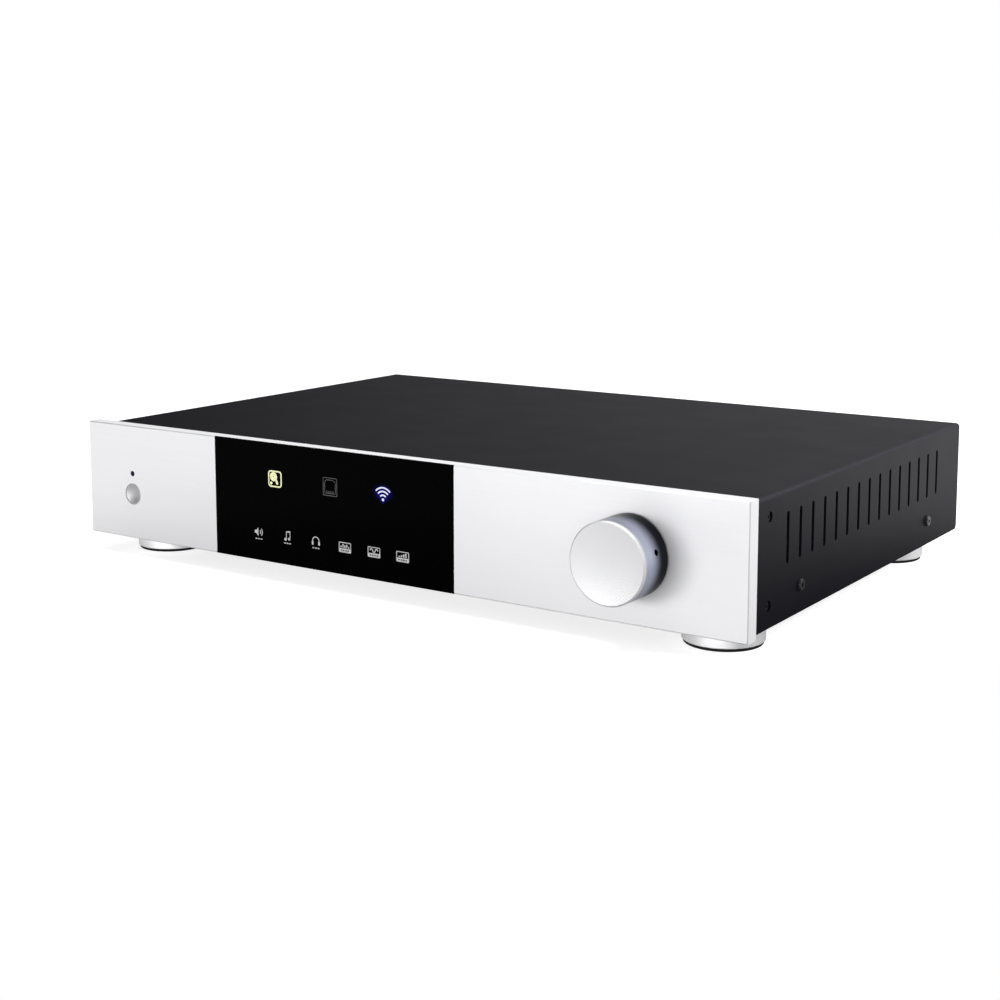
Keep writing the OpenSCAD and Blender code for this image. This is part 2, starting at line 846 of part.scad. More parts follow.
// Rear panel with a cut-out for each socket
module rear_panel() {
    color("#2a2a2e") placed() difference() {
        block(0, rear_in, base_top, [inner_w, rear_t, cover_in - base_top]);
        rear_cut(network_at, board_top - sheet_gap, [jack_size[0], jack_size[2]]);
        for (x = data_places) rear_cut(x, board_top + usb_lift, [usb_size[0], usb_size[2]]);
        rear_cut(optical_at, board_top, [optical_size[0], optical_size[2]]);
        rear_cut(inlet_at, mains_z - inlet_body[2] / 2, [inlet_body[0], inlet_body[2]]);
        rear_cut(rocker_at, mains_z - rocker_body[1] / 2, rocker_body);
        for (x = phono_places) rear_hole(x, socket_z, phono_stem);
        rear_hole(antenna_at, socket_z, antenna_d);
        for (side = [-1, 1]) rear_hole(inlet_at + side * inlet_screws_apart / 2, mains_z, m3);
        for (x = rear_screw_x) rear_hole(x, rear_screw_z, m3);
    }
}

module rear_cut(x, z, size) {
    block(x, rear_in - cut, z - sheet_gap,
        [size[0] + 2 * sheet_gap, rear_t + 2 * cut, size[1] + 2 * sheet_gap]);
}

module rear_hole(x, z, d) {
    rod_y(d + 2 * sheet_gap, x, rear_in - cut, rear_t + 2 * cut, z);
}

// Side bracket: an angle that ties the front panel to the cover and the base
module bracket(side) {
    color("gainsboro") placed() mirror([side < 0 ? 1 : 0, 0, 0]) difference() {
        translate([bracket_x, panel_t, base_top]) linear_extrude(bracket_h) polygon([
            [0, 0], [0, bracket_len], [-bracket_t, bracket_len], [-bracket_t, bracket_t],
            [-bracket_w, bracket_t], [-bracket_w, 0],
        ]);
        for (z = panel_screw_z) rod_y(m4 + 2 * sheet_gap, panel_screw_x, 0, bracket_end, z);
        for (p = sunk_screws) {
            rod_x(m3 + 2 * seat_gap, 0, cover_w, p[0], p[1]);
            rod_x(sunk_d + 2 * sheet_gap, bracket_x - sunk_seat, cover_w, p[0], p[1]);
        }
    }
}

module bracket_left() bracket(-1);
module bracket_right() bracket(1);

// Button-head screws that hold the cover to the base, two on each side
module cover_screws() {
    color("#202022") placed() for (side = [0, 1]) mirror([side, 0, 0]) for (p = side_screws) {
        translate([cover_w / 2, p[0], p[1]]) rotate([0, 90, 0])
            pan_screw(m3, side_head_d, side_head_h, side_shank);
    }
}

// Sunk screws in counterbores of the brackets, seen at the bottom of holes in the cover
module bracket_screws() {
    head_h = sunk_seat + cover_t + sheet_gap - sunk_depth;
    color("#202022") placed() for (side = [0, 1]) mirror([side, 0, 0]) for (p = sunk_screws) {
        translate([bracket_x - sunk_seat, p[0], p[1]]) rotate([0, 90, 0])
            pan_screw(m3, sunk_d, head_h, bracket_t - sunk_seat + sunk_past);
    }
}

module panel_screws() {
    color("gainsboro") placed() for (side = [-1, 1]) for (z = panel_screw_z) {
        translate([side * panel_screw_x, panel_t + bracket_t, z]) rotate([-90, 0, 0])
            pan_screw(m4, m4_head_d, m4_head_h, bracket_t + panel_screw_in);
    }
}

// Screws that show on the rear: along the base, and beside the mains inlet
module rear_screws() {
    color("#202022") placed() {
        for (x = rear_screw_x) rear_screw(x, rear_y, rear_screw_z);
        for (side = [-1, 1]) {
            rear_screw(inlet_at + side * inlet_screws_apart / 2, rear_y + inlet_flange[1], mains_z);
        }
    }
}

module rear_screw(x, y, z) {
    translate([x, y, z]) rotate([-90, 0, 0]) pan_screw(m3, m3_head_d, m3_head_h, y - rear_in + rear_screw_in);
}

// Nuts that hold the phono and antenna sockets in the rear panel
module rear_nuts() {
    color("goldenrod") placed() {
        for (x = phono_places) difference() {
            hex_y(stem_nut_af, x, rear_in - stem_nut_t, stem_nut_t, socket_z);
            rod_y(phono_stem + 2 * seat_gap, x, 0, 2 * cover_depth, socket_z);
        }
        difference() {
            hex_y(antenna_hex, antenna_at, rear_y, stem_nut_t, socket_z);
            rod_y(antenna_d + 2 * seat_gap, antenna_at, 0, 2 * cover_depth, socket_z);
        }
    }
}

// Turned foot with a neck above, a groove for the pad and a counterbore for its screw
module foot(i) {
    r = foot_d / 2;
    groove_top = pad_show + pad_seat;
    bore_r = m4 / 2 + sheet_gap;
    head_r = m4_head_d / 2 + 1;
    shoulder = foot_h - neck_h;
    color("silver") placed() translate([foot_places[i][0], foot_places[i][1], 0]) rotate_extrude() polygon([
        [bore_r, foot_h], [neck_d / 2, foot_h], [neck_d / 2, shoulder],
        [r - foot_edge, shoulder], [r, shoulder - foot_edge],
        [r, pad_show + foot_edge], [r - foot_edge, pad_show],
        [pad_d / 2 + seat_gap, pad_show], [pad_d / 2 + seat_gap, groove_top],
        [pad_bore / 2 - seat_gap, groove_top], [pad_bore / 2 - seat_gap, pad_show],
        [head_r, pad_show], [head_r, foot_head_z], [bore_r, foot_head_z],
    ]);
}

module foot_front_left() foot(0);
module foot_front_right() foot(1);
module foot_rear_left() foot(2);
module foot_rear_right() foot(3);

// Rubber ring under a foot
module pad(i) {
    top = pad_show + pad_seat;
    color("#141414") placed() translate([foot_places[i][0], foot_places[i][1], 0]) rotate_extrude() polygon([
        [pad_bore / 2, 0], [pad_d / 2 - pad_edge, 0], [pad_d / 2, pad_edge],
        [pad_d / 2, top], [pad_bore / 2, top],
    ]);
}

module pad_front_left() pad(0);
module pad_front_right() pad(1);
module pad_rear_left() pad(2);
module pad_rear_right() pad(3);

// Screws through the feet and the nuts on the base that take them
module foot_screws() {
    color("gainsboro") placed() for (p = foot_places) translate([p[0], p[1], 0]) {
        translate([0, 0, foot_head_z]) mirror([0, 0, 1])
            pan_screw(m4, m4_head_d, m4_head_h, base_top + foot_nut_t - foot_head_z);
        translate([0, 0, base_top]) difference() {
            cylinder(d = m4_head_d * nut_round, h = foot_nut_t, $fn = 6);
            translate([0, 0, -cut]) cylinder(d = m4 + 2 * seat_gap, h = foot_nut_t + 2 * cut);
        }
    }
}

// Main board, supply board and what holds them
module flat_board(left, right, front, rear, holes) {
    difference() {
        translate([left, front, board_z]) cube([right - left, rear - front, board_t]);
        for (p = holes) translate([p[0], p[1], board_z - cut])
            cylinder(d = m3 + 2 * sheet_gap, h = board_t + 2 * cut);
    }
}

module main_board() {
    color("darkgreen") placed() flat_board(main_left, main_right, main_front, main_rear, main_holes);
}

module supply_board() {
    color("darkgreen") placed()
        flat_board(supply_left, supply_right, supply_front, supply_rear, supply_holes);
}

module board_spacers() {
    color("goldenrod") placed() {
        for (p = front_holes) translate([p[0], panel_t, p[1]]) rotate([-90, 0, 0]) hex_spacer(front_gap);
        for (p = concat(main_holes, supply_holes)) translate([p[0], p[1], base_top]) hex_spacer(spacer_h);
    }
}

module board_screws() {
    color("gainsboro") placed() {
        for (p = front_holes) translate([p[0], board_y + board_t, p[1]]) rotate([-90, 0, 0])
            pan_screw(m3, m3_head_d, m3_head_h, board_t + board_grip);
        for (p = concat(main_holes, supply_holes)) {
            translate([p[0], p[1], board_top]) pan_screw(m3, m3_head_d, m3_head_h, board_t + board_grip);
            translate([p[0], p[1], base_z]) mirror([0, 0, 1])
                pan_screw(m3, m3_head_d, m3_head_h, base_t + board_grip);
        }
    }
}

module processor() {
    color("#303030") placed() block(chip_x, chip_y - chip_w / 2, board_top, [chip_w, chip_w, chip_h]);
}

module heatsink() {
    fin_step = (sink_w - sink_fin_t) / (sink_fins - 1);
    low = board_top + chip_h;
    color("#303034") placed() {
        block(chip_x, chip_y - sink_w / 2, low, [sink_w, sink_w, sink_base]);
        for (i = [0:sink_fins - 1]) {
            block(chip_x + (i - (sink_fins - 1) / 2) * fin_step, chip_y - sink_w / 2, low,
                [sink_fin_t, sink_w, sink_h]);
        }
    }
}

// Flat cable: a plug on the front board, a bend down, a bend back and a plug on the main board
module ribbon_cable() {
    straight_y = board_y + board_t;
    color("lightgray") placed() union() {
        block(ribbon_x, straight_y, ribbon_top - ribbon_plug[2] / 2, ribbon_plug);
        ribbon_corner(ribbon_drop - ribbon_bend, ribbon_top - ribbon_bend, 0);
        block(ribbon_x, ribbon_drop - ribbon_t / 2, ribbon_run + ribbon_bend,
            [ribbon_w, ribbon_t, ribbon_top - ribbon_run - 2 * ribbon_bend]);
        ribbon_corner(ribbon_drop + ribbon_bend, ribbon_run + ribbon_bend, 180);
        block(ribbon_x, ribbon_drop + ribbon_bend, ribbon_run - ribbon_t / 2,
            [ribbon_w, ribbon_end - ribbon_drop - 2 * ribbon_bend, ribbon_t]);
        ribbon_corner(ribbon_end - ribbon_bend, ribbon_run - ribbon_bend, 0);
        block(ribbon_x, ribbon_end - ribbon_plug[2] / 2, board_top,
            [ribbon_plug[0], ribbon_plug[2], ribbon_plug[1]]);
    }
}

module ribbon_corner(y, z, turn) {
    translate([ribbon_x - ribbon_w / 2, y, z]) rotate([90, 0, 90]) rotate([0, 0, turn])
        rotate_extrude(angle = 90) translate([ribbon_bend - ribbon_t / 2, 0]) square([ribbon_t, ribbon_w]);
}

module filter_capacitors() {
    r = cap_d / 2;
    low = cap_h - 5 * cap_groove;
    color("#20304a") placed() for (i = [0:3]) {
        x = supply_left + cap_first + i * cap_pitch;
        translate([x, supply_middle, board_top]) rotate_extrude() polygon([
            [0, 0], [r, 0], [r, low], [r - cap_groove, low + cap_groove], [r, low + 2 * cap_groove],
            [r, cap_h - cap_groove], [r - cap_groove, cap_h], [0, cap_h],
        ]);
    }
}

// Ring transformer between two rubber discs, held by a dished clamp and one bolt
module at_coil(z) {
    placed() translate([coil_at, panel_t + coil_y, z]) children();
}

module transformer() {
    wide = (coil_d - coil_bore) / 2;
    color("peru") at_coil(coil_z) rotate_extrude() translate([coil_bore / 2, 0]) {
        translate([coil_round, 0]) square([wide - 2 * coil_round, coil_h]);
        translate([0, coil_round]) square([wide, coil_h - 2 * coil_round]);
        for (x = [coil_round, wide - coil_round]) for (z = [coil_round, coil_h - coil_round]) {
            translate([x, z]) circle(coil_round);
        }
    }
}

module transformer_pads() {
    color("#141414") for (z = [base_top, coil_z + coil_h]) at_coil(z) difference() {
        cylinder(d = clamp_d, h = coil_pad_t);
        translate([0, 0, -cut]) cylinder(d = coil_bolt_d + 2 * sheet_gap, h = coil_pad_t + 2 * cut);
    }
}

module transformer_clamp() {
    bore_r = coil_bolt_d / 2 + sheet_gap;
    foot_r = clamp_flat + clamp_dish;
    color("gainsboro") at_coil(clamp_z) rotate_extrude() polygon([
        [bore_r, clamp_dish - clamp_t], [clamp_flat, clamp_dish - clamp_t], [foot_r, 0],
        [clamp_d / 2, 0], [clamp_d / 2, clamp_t], [foot_r, clamp_t], [clamp_flat, clamp_dish],
        [bore_r, clamp_dish],
    ]);
}

module transformer_bolt() {
    nut_z = clamp_z + clamp_dish;
    color("gainsboro") {
        at_coil(base_z) mirror([0, 0, 1])
            pan_screw(coil_bolt_d, bolt_head_d, bolt_head_h, nut_z + bolt_nut_t - base_z);
        at_coil(nut_z) difference() {
            cylinder(d = bolt_nut_af * nut_round, h = bolt_nut_t, $fn = 6);
            translate([0, 0, -cut]) cylinder(d = coil_bolt_d + 2 * seat_gap, h = bolt_nut_t + 2 * cut);
        }
    }
}

// Network jack: a shell with a stepped mouth for a plug and its latch
module ethernet_jack() {
    mouth = rear_y + jack_out;
    low = board_top + jack_floor;
    color("silver") placed() difference() {
        block(network_at, mouth - jack_size[1], board_top, jack_size);
        block(network_at, mouth - jack_hole[1], low, jack_hole + [0, cut, 0]);
        block(network_at, mouth - jack_latch[1], low + jack_hole[2] - cut, jack_latch + [0, cut, cut]);
    }
}

module usb_sockets() {
    mouth = rear_y + usb_out;
    room = [usb_size[0] - 2 * usb_wall, usb_size[1] - usb_wall, usb_size[2] - 2 * usb_wall];
    low = board_top + usb_lift;
    color("silver") placed() for (x = data_places) difference() {
        union() {
            block(x, mouth - usb_size[1], low, usb_size);
            block(x, mouth - usb_size[1], board_top, [usb_foot[0], usb_foot[1], usb_lift + usb_wall]);
        }
        block(x, mouth - room[1], low + usb_wall, room + [0, cut, 0]);
    }
}

module usb_tongues() {
    inner_y = rear_y + usb_out - usb_size[1] + usb_wall;
    color("white") placed() for (x = data_places) {
        block(x, inner_y, board_top + usb_lift + usb_size[2] / 2, tongue_size);
    }
}

module optical_socket() {
    mouth = rear_y + optical_out;
    low = board_top + (optical_size[2] - optical_hole[2]) / 2;
    color("#202022") placed() difference() {
        block(optical_at, mouth - optical_size[1], board_top, optical_size);
        block(optical_at, mouth - optical_hole[1], low, optical_hole + [0, cut, 0]);
        rod_y(optical_port, optical_at, mouth - optical_hole[1] - optical_port_in, optical_port_in + cut,
            low + optical_hole[2] / 2);
    }
}

// Phono sockets: each a stem through the panel, a collar and a barrel that a plug grips
module phono_sockets() {
    color("goldenrod") placed() for (x = phono_places) turned_y(x, rear_y, socket_z) polygon([
        [0, -rear_t - phono_stem_in], [phono_stem / 2, -rear_t - phono_stem_in],
        [phono_stem / 2, washer_t], [phono_collar / 2, washer_t],
        [phono_collar / 2, washer_t + collar_t], [phono_d / 2, washer_t + collar_t],
        [phono_d / 2, phono_reach - phono_edge], [phono_d / 2 - phono_edge, phono_reach],
        [phono_bore / 2, phono_reach], [phono_bore / 2, washer_t + collar_t], [0, washer_t + collar_t],
    ]);
}

module phono_washers() {
    color("black") placed() for (x = phono_places) difference() {
        rod_y(phono_washer_d, x, rear_y, washer_t, socket_z);
        rod_y(phono_stem + 2 * seat_gap, x, rear_y - cut, washer_t + 2 * cut, socket_z);
    }
}

module phono_cores() {
    core_len = barrel_len - phono_core_in;
    color("white") placed() for (x = phono_places) difference() {
        rod_y(phono_bore - 2 * seat_gap, x, rear_y + washer_t + collar_t, core_len, socket_z);
        rod_y(phono_pin, x, rear_y + washer_t + collar_t + cut, core_len, socket_z);
    }
}

module antenna_socket() {
    color("goldenrod") placed() difference() {
        union() {
            rod_y(antenna_d, antenna_at, rear_in - phono_stem_in,
                antenna_out + rear_t + phono_stem_in, socket_z);
            hex_y(antenna_hex, antenna_at, rear_in - antenna_seat, antenna_seat, socket_z);
        }
        difference() {
            rod_y(antenna_bore, antenna_at, rear_y + antenna_out - antenna_room, antenna_room + cut,
                socket_z);
            rod_y(antenna_pin, antenna_at, rear_y, antenna_out - antenna_pin_in, socket_z);
        }
    }
}

// Mains inlet: a flanged housing whose mouth has two cut corners, and its three blades
module mains_inlet() {
    out = rear_y + inlet_flange[1];
    deep = out - inlet_hole[1];
    half = inlet_hole[0] / 2;
    high = inlet_hole[2] / 2;
    color("#202022") placed() difference() {
        union() {
            translate([inlet_at, 0, mains_z]) along_y(rear_y, inlet_flange[1]) inlet_outline();
            block(inlet_at, rear_y - inlet_body[1], mains_z - inlet_body[2] / 2, inlet_body + [0, cut, 0]);
        }
        translate([inlet_at, 0, mains_z]) along_y(deep, inlet_hole[1] + cut) polygon([
            [-half, -high], [half, -high], [half, high - inlet_cut], [half - inlet_cut, high],
            [inlet_cut - half, high], [-half, high - inlet_cut],
        ]);
        for (p = blade_places()) blade(p, seat_gap);
        for (side = [-1, 1]) {
            rod_y(m3 + 2 * seat_gap, inlet_at + side * inlet_screws_apart / 2, rear_y - cut,
                inlet_flange[1] + 2 * cut, mains_z);
        }
    }
}

module inlet_outline() {
    half = [inlet_flange[0] / 2, inlet_flange[2] / 2];
    ear_x = inlet_screws_apart / 2;
    reach = [half[0] - ear_x, half[1]];
    turn = atan2(reach[1], reach[0]) - acos(inlet_ear_r / norm(reach));
    touch = [ear_x + inlet_ear_r * cos(turn), inlet_ear_r * sin(turn)];
    polygon([
        [-half[0], half[1]], half, touch, [touch[0], -touch[1]], [half[0], -half[1]],
        -half, -touch, [-touch[0], touch[1]],
    ]);
    for (side = [-1, 1]) translate([side * ear_x, 0]) circle(inlet_ear_r);
}

function blade_places() = [[-pin_side, -pin_rise], [pin_side, -pin_rise], [0, pin_rise]];

module blade(p, gap) {
    root = rear_y - inlet_body[1] - pin_tab;
    tip = rear_y + inlet_flange[1] - inlet_hole[1] + pin_size[1];
    block(inlet_at + p[0], root, mains_z + p[1] - pin_size[2] / 2 - gap,
        [pin_size[0] + 2 * gap, tip - root, pin_size[2] + 2 * gap]);
}

module inlet_pins() {
    color("silver") placed() for (p = blade_places()) blade(p, 0);
}

// Mains switch: a frame that carries the rocker on two side pivots
module rocker_frame() {
    color("#202022") placed() difference() {
        union() {
            block(rocker_at, rear_y, mains_z - rocker_body[1] / 2 - rocker_bezel[2] / 2,
                [rocker_body[0] + rocker_bezel[0], rocker_bezel[1], rocker_body[1] + rocker_bezel[2]]);
            block(rocker_at, rear_y - rocker_depth, mains_z - rocker_body[1] / 2,
                [rocker_body[0], rocker_depth + cut, rocker_body[1]]);
        }
        block(rocker_at, rear_y - rocker_depth + rocker_wall, mains_z - rocker_hole[1] / 2,
            [rocker_hole[0], rocker_depth + rocker_bezel[1] + cut, rocker_hole[1]]);
        rod_x(rocker_pivot_d + 2 * run_gap, rocker_at - rocker_body[0], 2 * rocker_body[0],
            rear_y - rocker_pivot_in, mains_z);
    }
}

module rocker() {
    half = rocker_size[1] / 2;
    axle = rocker_hole[0] + 2 * rocker_wall - 2 * slide_gap;
    rise = rocker_bezel[1] + rocker_pivot_in;
    pivot = [rocker_at, rear_y - rocker_pivot_in, mains_z];
    color("#18181a") placed() translate(pivot) rotate([rocker_tip / 2, 0, 0]) {
        along_x(-rocker_size[0] / 2, rocker_size[0]) polygon([
            [rise + rocker_crest, -half], [rise + rocker_dip, 0], [rise + rocker_crest, half],
            [-rocker_back[0], half * rocker_narrow[0]], [-rocker_back[1], half * rocker_narrow[1]],
            [-rocker_back[1], -half * rocker_narrow[1]], [-rocker_back[0], -half * rocker_narrow[0]],
        ]);
        rod_x(rocker_pivot_d, -axle / 2, axle, 0, 0);
    }
}

// A quarter bend of wire: it comes in along one axis of the plane and leaves along the other.
// The corner is where the two straight runs would meet, and a and b point from it along them.
module bend(d, corner, a, b) {
    n = cross(a, b);
    multmatrix([for (i = [0:2]) [a[i], b[i], n[i], corner[i]]])
        translate([wire_bend, wire_bend, 0]) rotate([0, 0, 180]) rotate_extrude(angle = 90)
            translate([wire_bend, 0]) circle(d = d);
}

// A straight run of wire from one point to another along X, Y or Z
module run(d, from, to) {
    step = to - from;
    upright = [step[2] < 0 ? 180 : 0, 0, 0];
    level = step[0] != 0 ? [0, 90 * sign(step[0]), 0] : [-90 * sign(step[1]), 0, 0];
    turn = step[2] != 0 ? upright : level;
    translate(from) rotate(turn) cylinder(d = d, h = norm(step));
}

// A wire through three or four points, with a bend at each one between its ends
module wire(d, points) {
    last = len(points) - 1;
    function way(i) = (points[i + 1] - points[i]) / norm(points[i + 1] - points[i]);
    for (i = [0:last - 1]) {
        start = i > 0 ? wire_bend : 0;
        stop = i < last - 1 ? wire_bend : 0;
        run(d, points[i] + start * way(i), points[i + 1] - stop * way(i));
    }
    for (i = [1:last - 1]) bend(d, points[i], -way(i - 1), way(i));
}

// Leads: inlet to switch, switch to supply, earth, transformer to supply, supply to main board, antenna
module wire_leads() {
    tab_y = rear_y - inlet_body[1] - pin_tab;
    switch_y = rear_y - rocker_depth;
    blade_z = mains_z - pin_rise;
    color("#303030") placed() {
        for (i = [0, 1]) {
            side = i == 0 ? 1 : -1;
            x = [inlet_at + side * pin_side, rocker_at - side * sleeve_side];
            deep = switch_y - mains_deep[i];
            wire(wire_d, [[x[0], tab_y, blade_z], [x[0], deep, blade_z], [x[1], deep, blade_z],
                [x[1], switch_y - sleeve_size[1], blade_z]]);
            block(x[1], switch_y - sleeve_size[1], blade_z - sleeve_size[2] / 2, sleeve_size);
        }
        earth_y = switch_y - earth_deep;
        wire(wire_d, [[inlet_at, tab_y, mains_z + pin_rise], [inlet_at, earth_y, mains_z + pin_rise],
            [inlet_at, earth_y, base_top + lug_t / 2]]);
        translate([inlet_at, earth_y, base_top]) cylinder(d = lug_d, h = lug_t);
        terminal_y = supply_rear - terminal_in;
        for (side = [-1, 1]) {
            x = rocker_at + side * sleeve_side;
            z = mains_z + sleeve_rise;
            wire(wire_d, [[x, switch_y - sleeve_size[1], z], [x, terminal_y, z],
                [x, terminal_y, board_top + shell_h]]);
            block(x, switch_y - sleeve_size[1], z - sleeve_size[2] / 2, sleeve_size);
        }
        lead_shell(rocker_at, terminal_y, 2 * sleeve_side + 2 * wire_pitch, shell_t);
        coil_end = supply_front + shell_t;
        difference() {
            for (i = [-1.5:1.5]) {
                x = coil_at + i * wire_pitch;
                wire(wire_d, [[x, panel_t + coil_y, coil_lead_z], [x, coil_end, coil_lead_z],
                    [x, coil_end, board_top + shell_h]]);
            }
            translate([coil_at, panel_t + coil_y, 0]) cylinder(d = coil_d + 2 * seat_gap, h = cover_top);
        }
        lead_shell(coil_at, coil_end, 5 * wire_pitch, shell_t);
        ends = [main_right - terminal_in, supply_left + terminal_in];
        for (i = [-1:1]) {
            y = link_y + i * wire_pitch;
            wire(wire_d, [[ends[0], y, board_top + shell_h], [ends[0], y, link_z], [ends[1], y, link_z],
                [ends[1], y, board_top + shell_h]]);
        }
        for (x = ends) lead_shell(x, link_y, shell_t, 4 * wire_pitch);
        plug = [main_left + main_edge, rear_in - coax_in, board_top + coax_plug_h / 2];
        wire(coax_wire_d, [[antenna_at, rear_in - phono_stem_in, socket_z], [antenna_at, plug[1], socket_z],
            [plug[0], plug[1], socket_z], plug]);
        translate([plug[0], plug[1], board_top]) cylinder(d = coax_plug_d, h = coax_plug_h);
    }
}

// The housing at the end of a lead, standing on a board
module lead_shell(x, y, w, t) {
    block(x, y - t / 2, board_top, [w, t, shell_h]);
}

front_panel();
display_window();
light_mask();
indicator_lamps();
eye_lens();
eye_receiver();
power_button();
button_switch();
switch_plunger();
front_board();
volume_knob();
knob_grub_screw();
encoder_shaft();
encoder_body();
encoder_nut();
encoder_washer();
top_cover();
base_tray();
rear_panel();
bracket_left();
bracket_right();
cover_screws();
bracket_screws();
panel_screws();
rear_screws();
rear_nuts();
foot_front_left();
foot_front_right();
foot_rear_left();
foot_rear_right();
pad_front_left();
pad_front_right();
pad_rear_left();
pad_rear_right();
foot_screws();
main_board();
board_spacers();
board_screws();
processor();
heatsink();
ribbon_cable();
supply_board();
filter_capacitors();
transformer();
transformer_pads();
transformer_clamp();
transformer_bolt();
ethernet_jack();
usb_sockets();
usb_tongues();
optical_socket();
phono_sockets();
phono_washers();
phono_cores();
antenna_socket();
mains_inlet();
inlet_pins();
rocker_frame();
rocker();
wire_leads();
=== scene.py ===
# %% [markdown]
# # Dressing a network music streamer
# The object is a flat home audio component, 430 mm wide: a thick aluminium front with a black
# window, a turned volume knob, a folded black cover with slots and four turned feet. Its pieces
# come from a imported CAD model, which this lesson never moves or reshapes. The lesson gives each
# piece its finish, adds the signs and small parts that are looks rather than construction, and
# sets up the picture.

# %% Load the frame
import json
import math

import bmesh
import bpy
from mathutils import Matrix, Vector


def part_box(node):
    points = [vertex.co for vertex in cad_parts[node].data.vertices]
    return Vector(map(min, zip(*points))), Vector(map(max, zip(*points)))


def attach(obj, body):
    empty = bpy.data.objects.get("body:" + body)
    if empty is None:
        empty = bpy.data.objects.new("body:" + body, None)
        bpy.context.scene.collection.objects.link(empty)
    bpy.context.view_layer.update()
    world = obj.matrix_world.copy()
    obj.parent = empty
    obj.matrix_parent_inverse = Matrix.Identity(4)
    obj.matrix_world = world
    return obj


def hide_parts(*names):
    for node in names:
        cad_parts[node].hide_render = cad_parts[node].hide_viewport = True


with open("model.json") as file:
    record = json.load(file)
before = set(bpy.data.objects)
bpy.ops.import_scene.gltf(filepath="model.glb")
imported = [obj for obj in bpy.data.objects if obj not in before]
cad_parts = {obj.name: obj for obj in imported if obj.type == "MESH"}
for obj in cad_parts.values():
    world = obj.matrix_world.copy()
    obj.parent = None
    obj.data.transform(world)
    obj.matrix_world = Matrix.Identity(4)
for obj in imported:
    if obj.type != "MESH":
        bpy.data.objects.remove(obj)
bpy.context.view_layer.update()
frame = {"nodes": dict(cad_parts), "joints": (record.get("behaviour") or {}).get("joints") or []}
nodes = frame["nodes"]
MM = 0.001

# %% [markdown]
# ## The camera
# A product picture is taken from a little above, and from the side that shows the knob. The
# camera looks slightly down, and a lens shift moves the object to its place in the frame. Tilting
# the camera further would do that too, but then the upright edges would lean.

# %% Place the camera
CAMERA_PLACE = (0.530977, -0.809309, 0.226715)
CAMERA_AZIMUTH = math.radians(34.018)
CAMERA_ELEVATION = math.radians(7.490)

camera_data = bpy.data.cameras.new("camera")
camera_data.lens = 59.70
camera_data.shift_y = -0.11426
camera = bpy.data.objects.new("camera", camera_data)
camera.location = CAMERA_PLACE
camera.rotation_euler = (math.pi / 2 - CAMERA_ELEVATION, 0, CAMERA_AZIMUTH)
bpy.context.collection.objects.link(camera)
bpy.context.scene.camera = camera
bpy.context.scene.view_settings.view_transform = "Standard"
print(f"camera {Vector(CAMERA_PLACE).length:.2f} m from the middle")

# %% [markdown]
# ## Nodes by the handful
# A shader is a small graph. Building one in code takes three steps for each node: make it, set its
# options, fill its inputs. One helper does all three. An input that is given a socket is linked,
# and anything else is written on it as a plain value. A second helper is for what these graphs do
# most often: while a value goes from one place to another, its result goes smoothly from one
# number to another, and stays level outside.

# %% Helpers: add a node, ease from one number to another
def add_node(tree, kind, inputs=(), **options):
    made = tree.nodes.new("ShaderNode" + kind)
    for name, value in options.items():
        setattr(made, name, value)
    for name, value in dict(inputs).items():
        if isinstance(value, bpy.types.NodeSocket):
            tree.links.new(value, made.inputs[name])
        else:
            made.inputs[name].default_value = value
    return made


def ease(tree, value, start, end):
    made = add_node(tree, "MapRange", {"Value": value, "From Min": start[0], "From Max": end[0],
                                       "To Min": start[1], "To Max": end[1]},
                    interpolation_type="SMOOTHSTEP")
    return made.outputs[0]


# %% [markdown]
# ## A white room, and what metal sees of it
# The object stands on a white sheet before a white wall, and the rest of the room is dim. A wall
# could be built, but the world is enough, because Light Path tells the rays apart. The camera sees
# plain white. Rays off metal and through glass see a room that is bright behind on the right, pale
# overhead and dim on the camera's own side: that gives the cover its slow change from left to
# right and the turned metal its dark edges. All other rays get a weak, even fill.

# %% Helper: rays off gloss
def off_gloss(tree):
    """Light Path's outputs, and 1 for a ray that comes off gloss or through glass."""
    path = add_node(tree, "LightPath").outputs
    either = add_node(tree, "Math", {0: path["Is Glossy Ray"], 1: path["Is Transmission Ray"]},
                      operation="MAXIMUM")
    return path, either.outputs[0]


# %% World
FILL = 0.15
DIM = 0.03
BRIGHTEST = (0.64, 0.768, 0)
FULL_FROM = 0.85
CEILING = (0.3, 0.0), (0.7, 0.25)

world = bpy.data.worlds.new("studio")
world.use_nodes = True
bpy.context.scene.world = world
tree = world.node_tree
tree.nodes.clear()
direction = add_node(tree, "TexCoord").outputs["Generated"]
facing = add_node(tree, "VectorMath", {0: direction, 1: BRIGHTEST}, operation="DOT_PRODUCT")
walls = add_node(tree, "MapRange", {"Value": facing.outputs["Value"], "From Max": FULL_FROM,
                                    "To Min": DIM})
height = add_node(tree, "SeparateXYZ", {0: direction}).outputs["Z"]
brighter = add_node(tree, "Math", {0: walls.outputs[0], 1: ease(tree, height, *CEILING)},
                    operation="MAXIMUM")
fill = add_node(tree, "Background", {"Color": (FILL, FILL, FILL, 1)})
mirrored = add_node(tree, "Background", {"Color": (1, 1, 1, 1), "Strength": brighter.outputs[0]})
white = add_node(tree, "Background", {"Color": (1, 1, 1, 1)})
path, gloss = off_gloss(tree)
lit = add_node(tree, "MixShader", {0: gloss, 1: fill.outputs[0], 2: mirrored.outputs[0]})
seen = add_node(tree, "MixShader", {0: path["Is Camera Ray"], 1: lit.outputs[0], 2: white.outputs[0]})
add_node(tree, "OutputWorld", {"Surface": seen.outputs[0]})
print(f"white to the camera, {DIM} to 1 to metal, fill {FILL}")

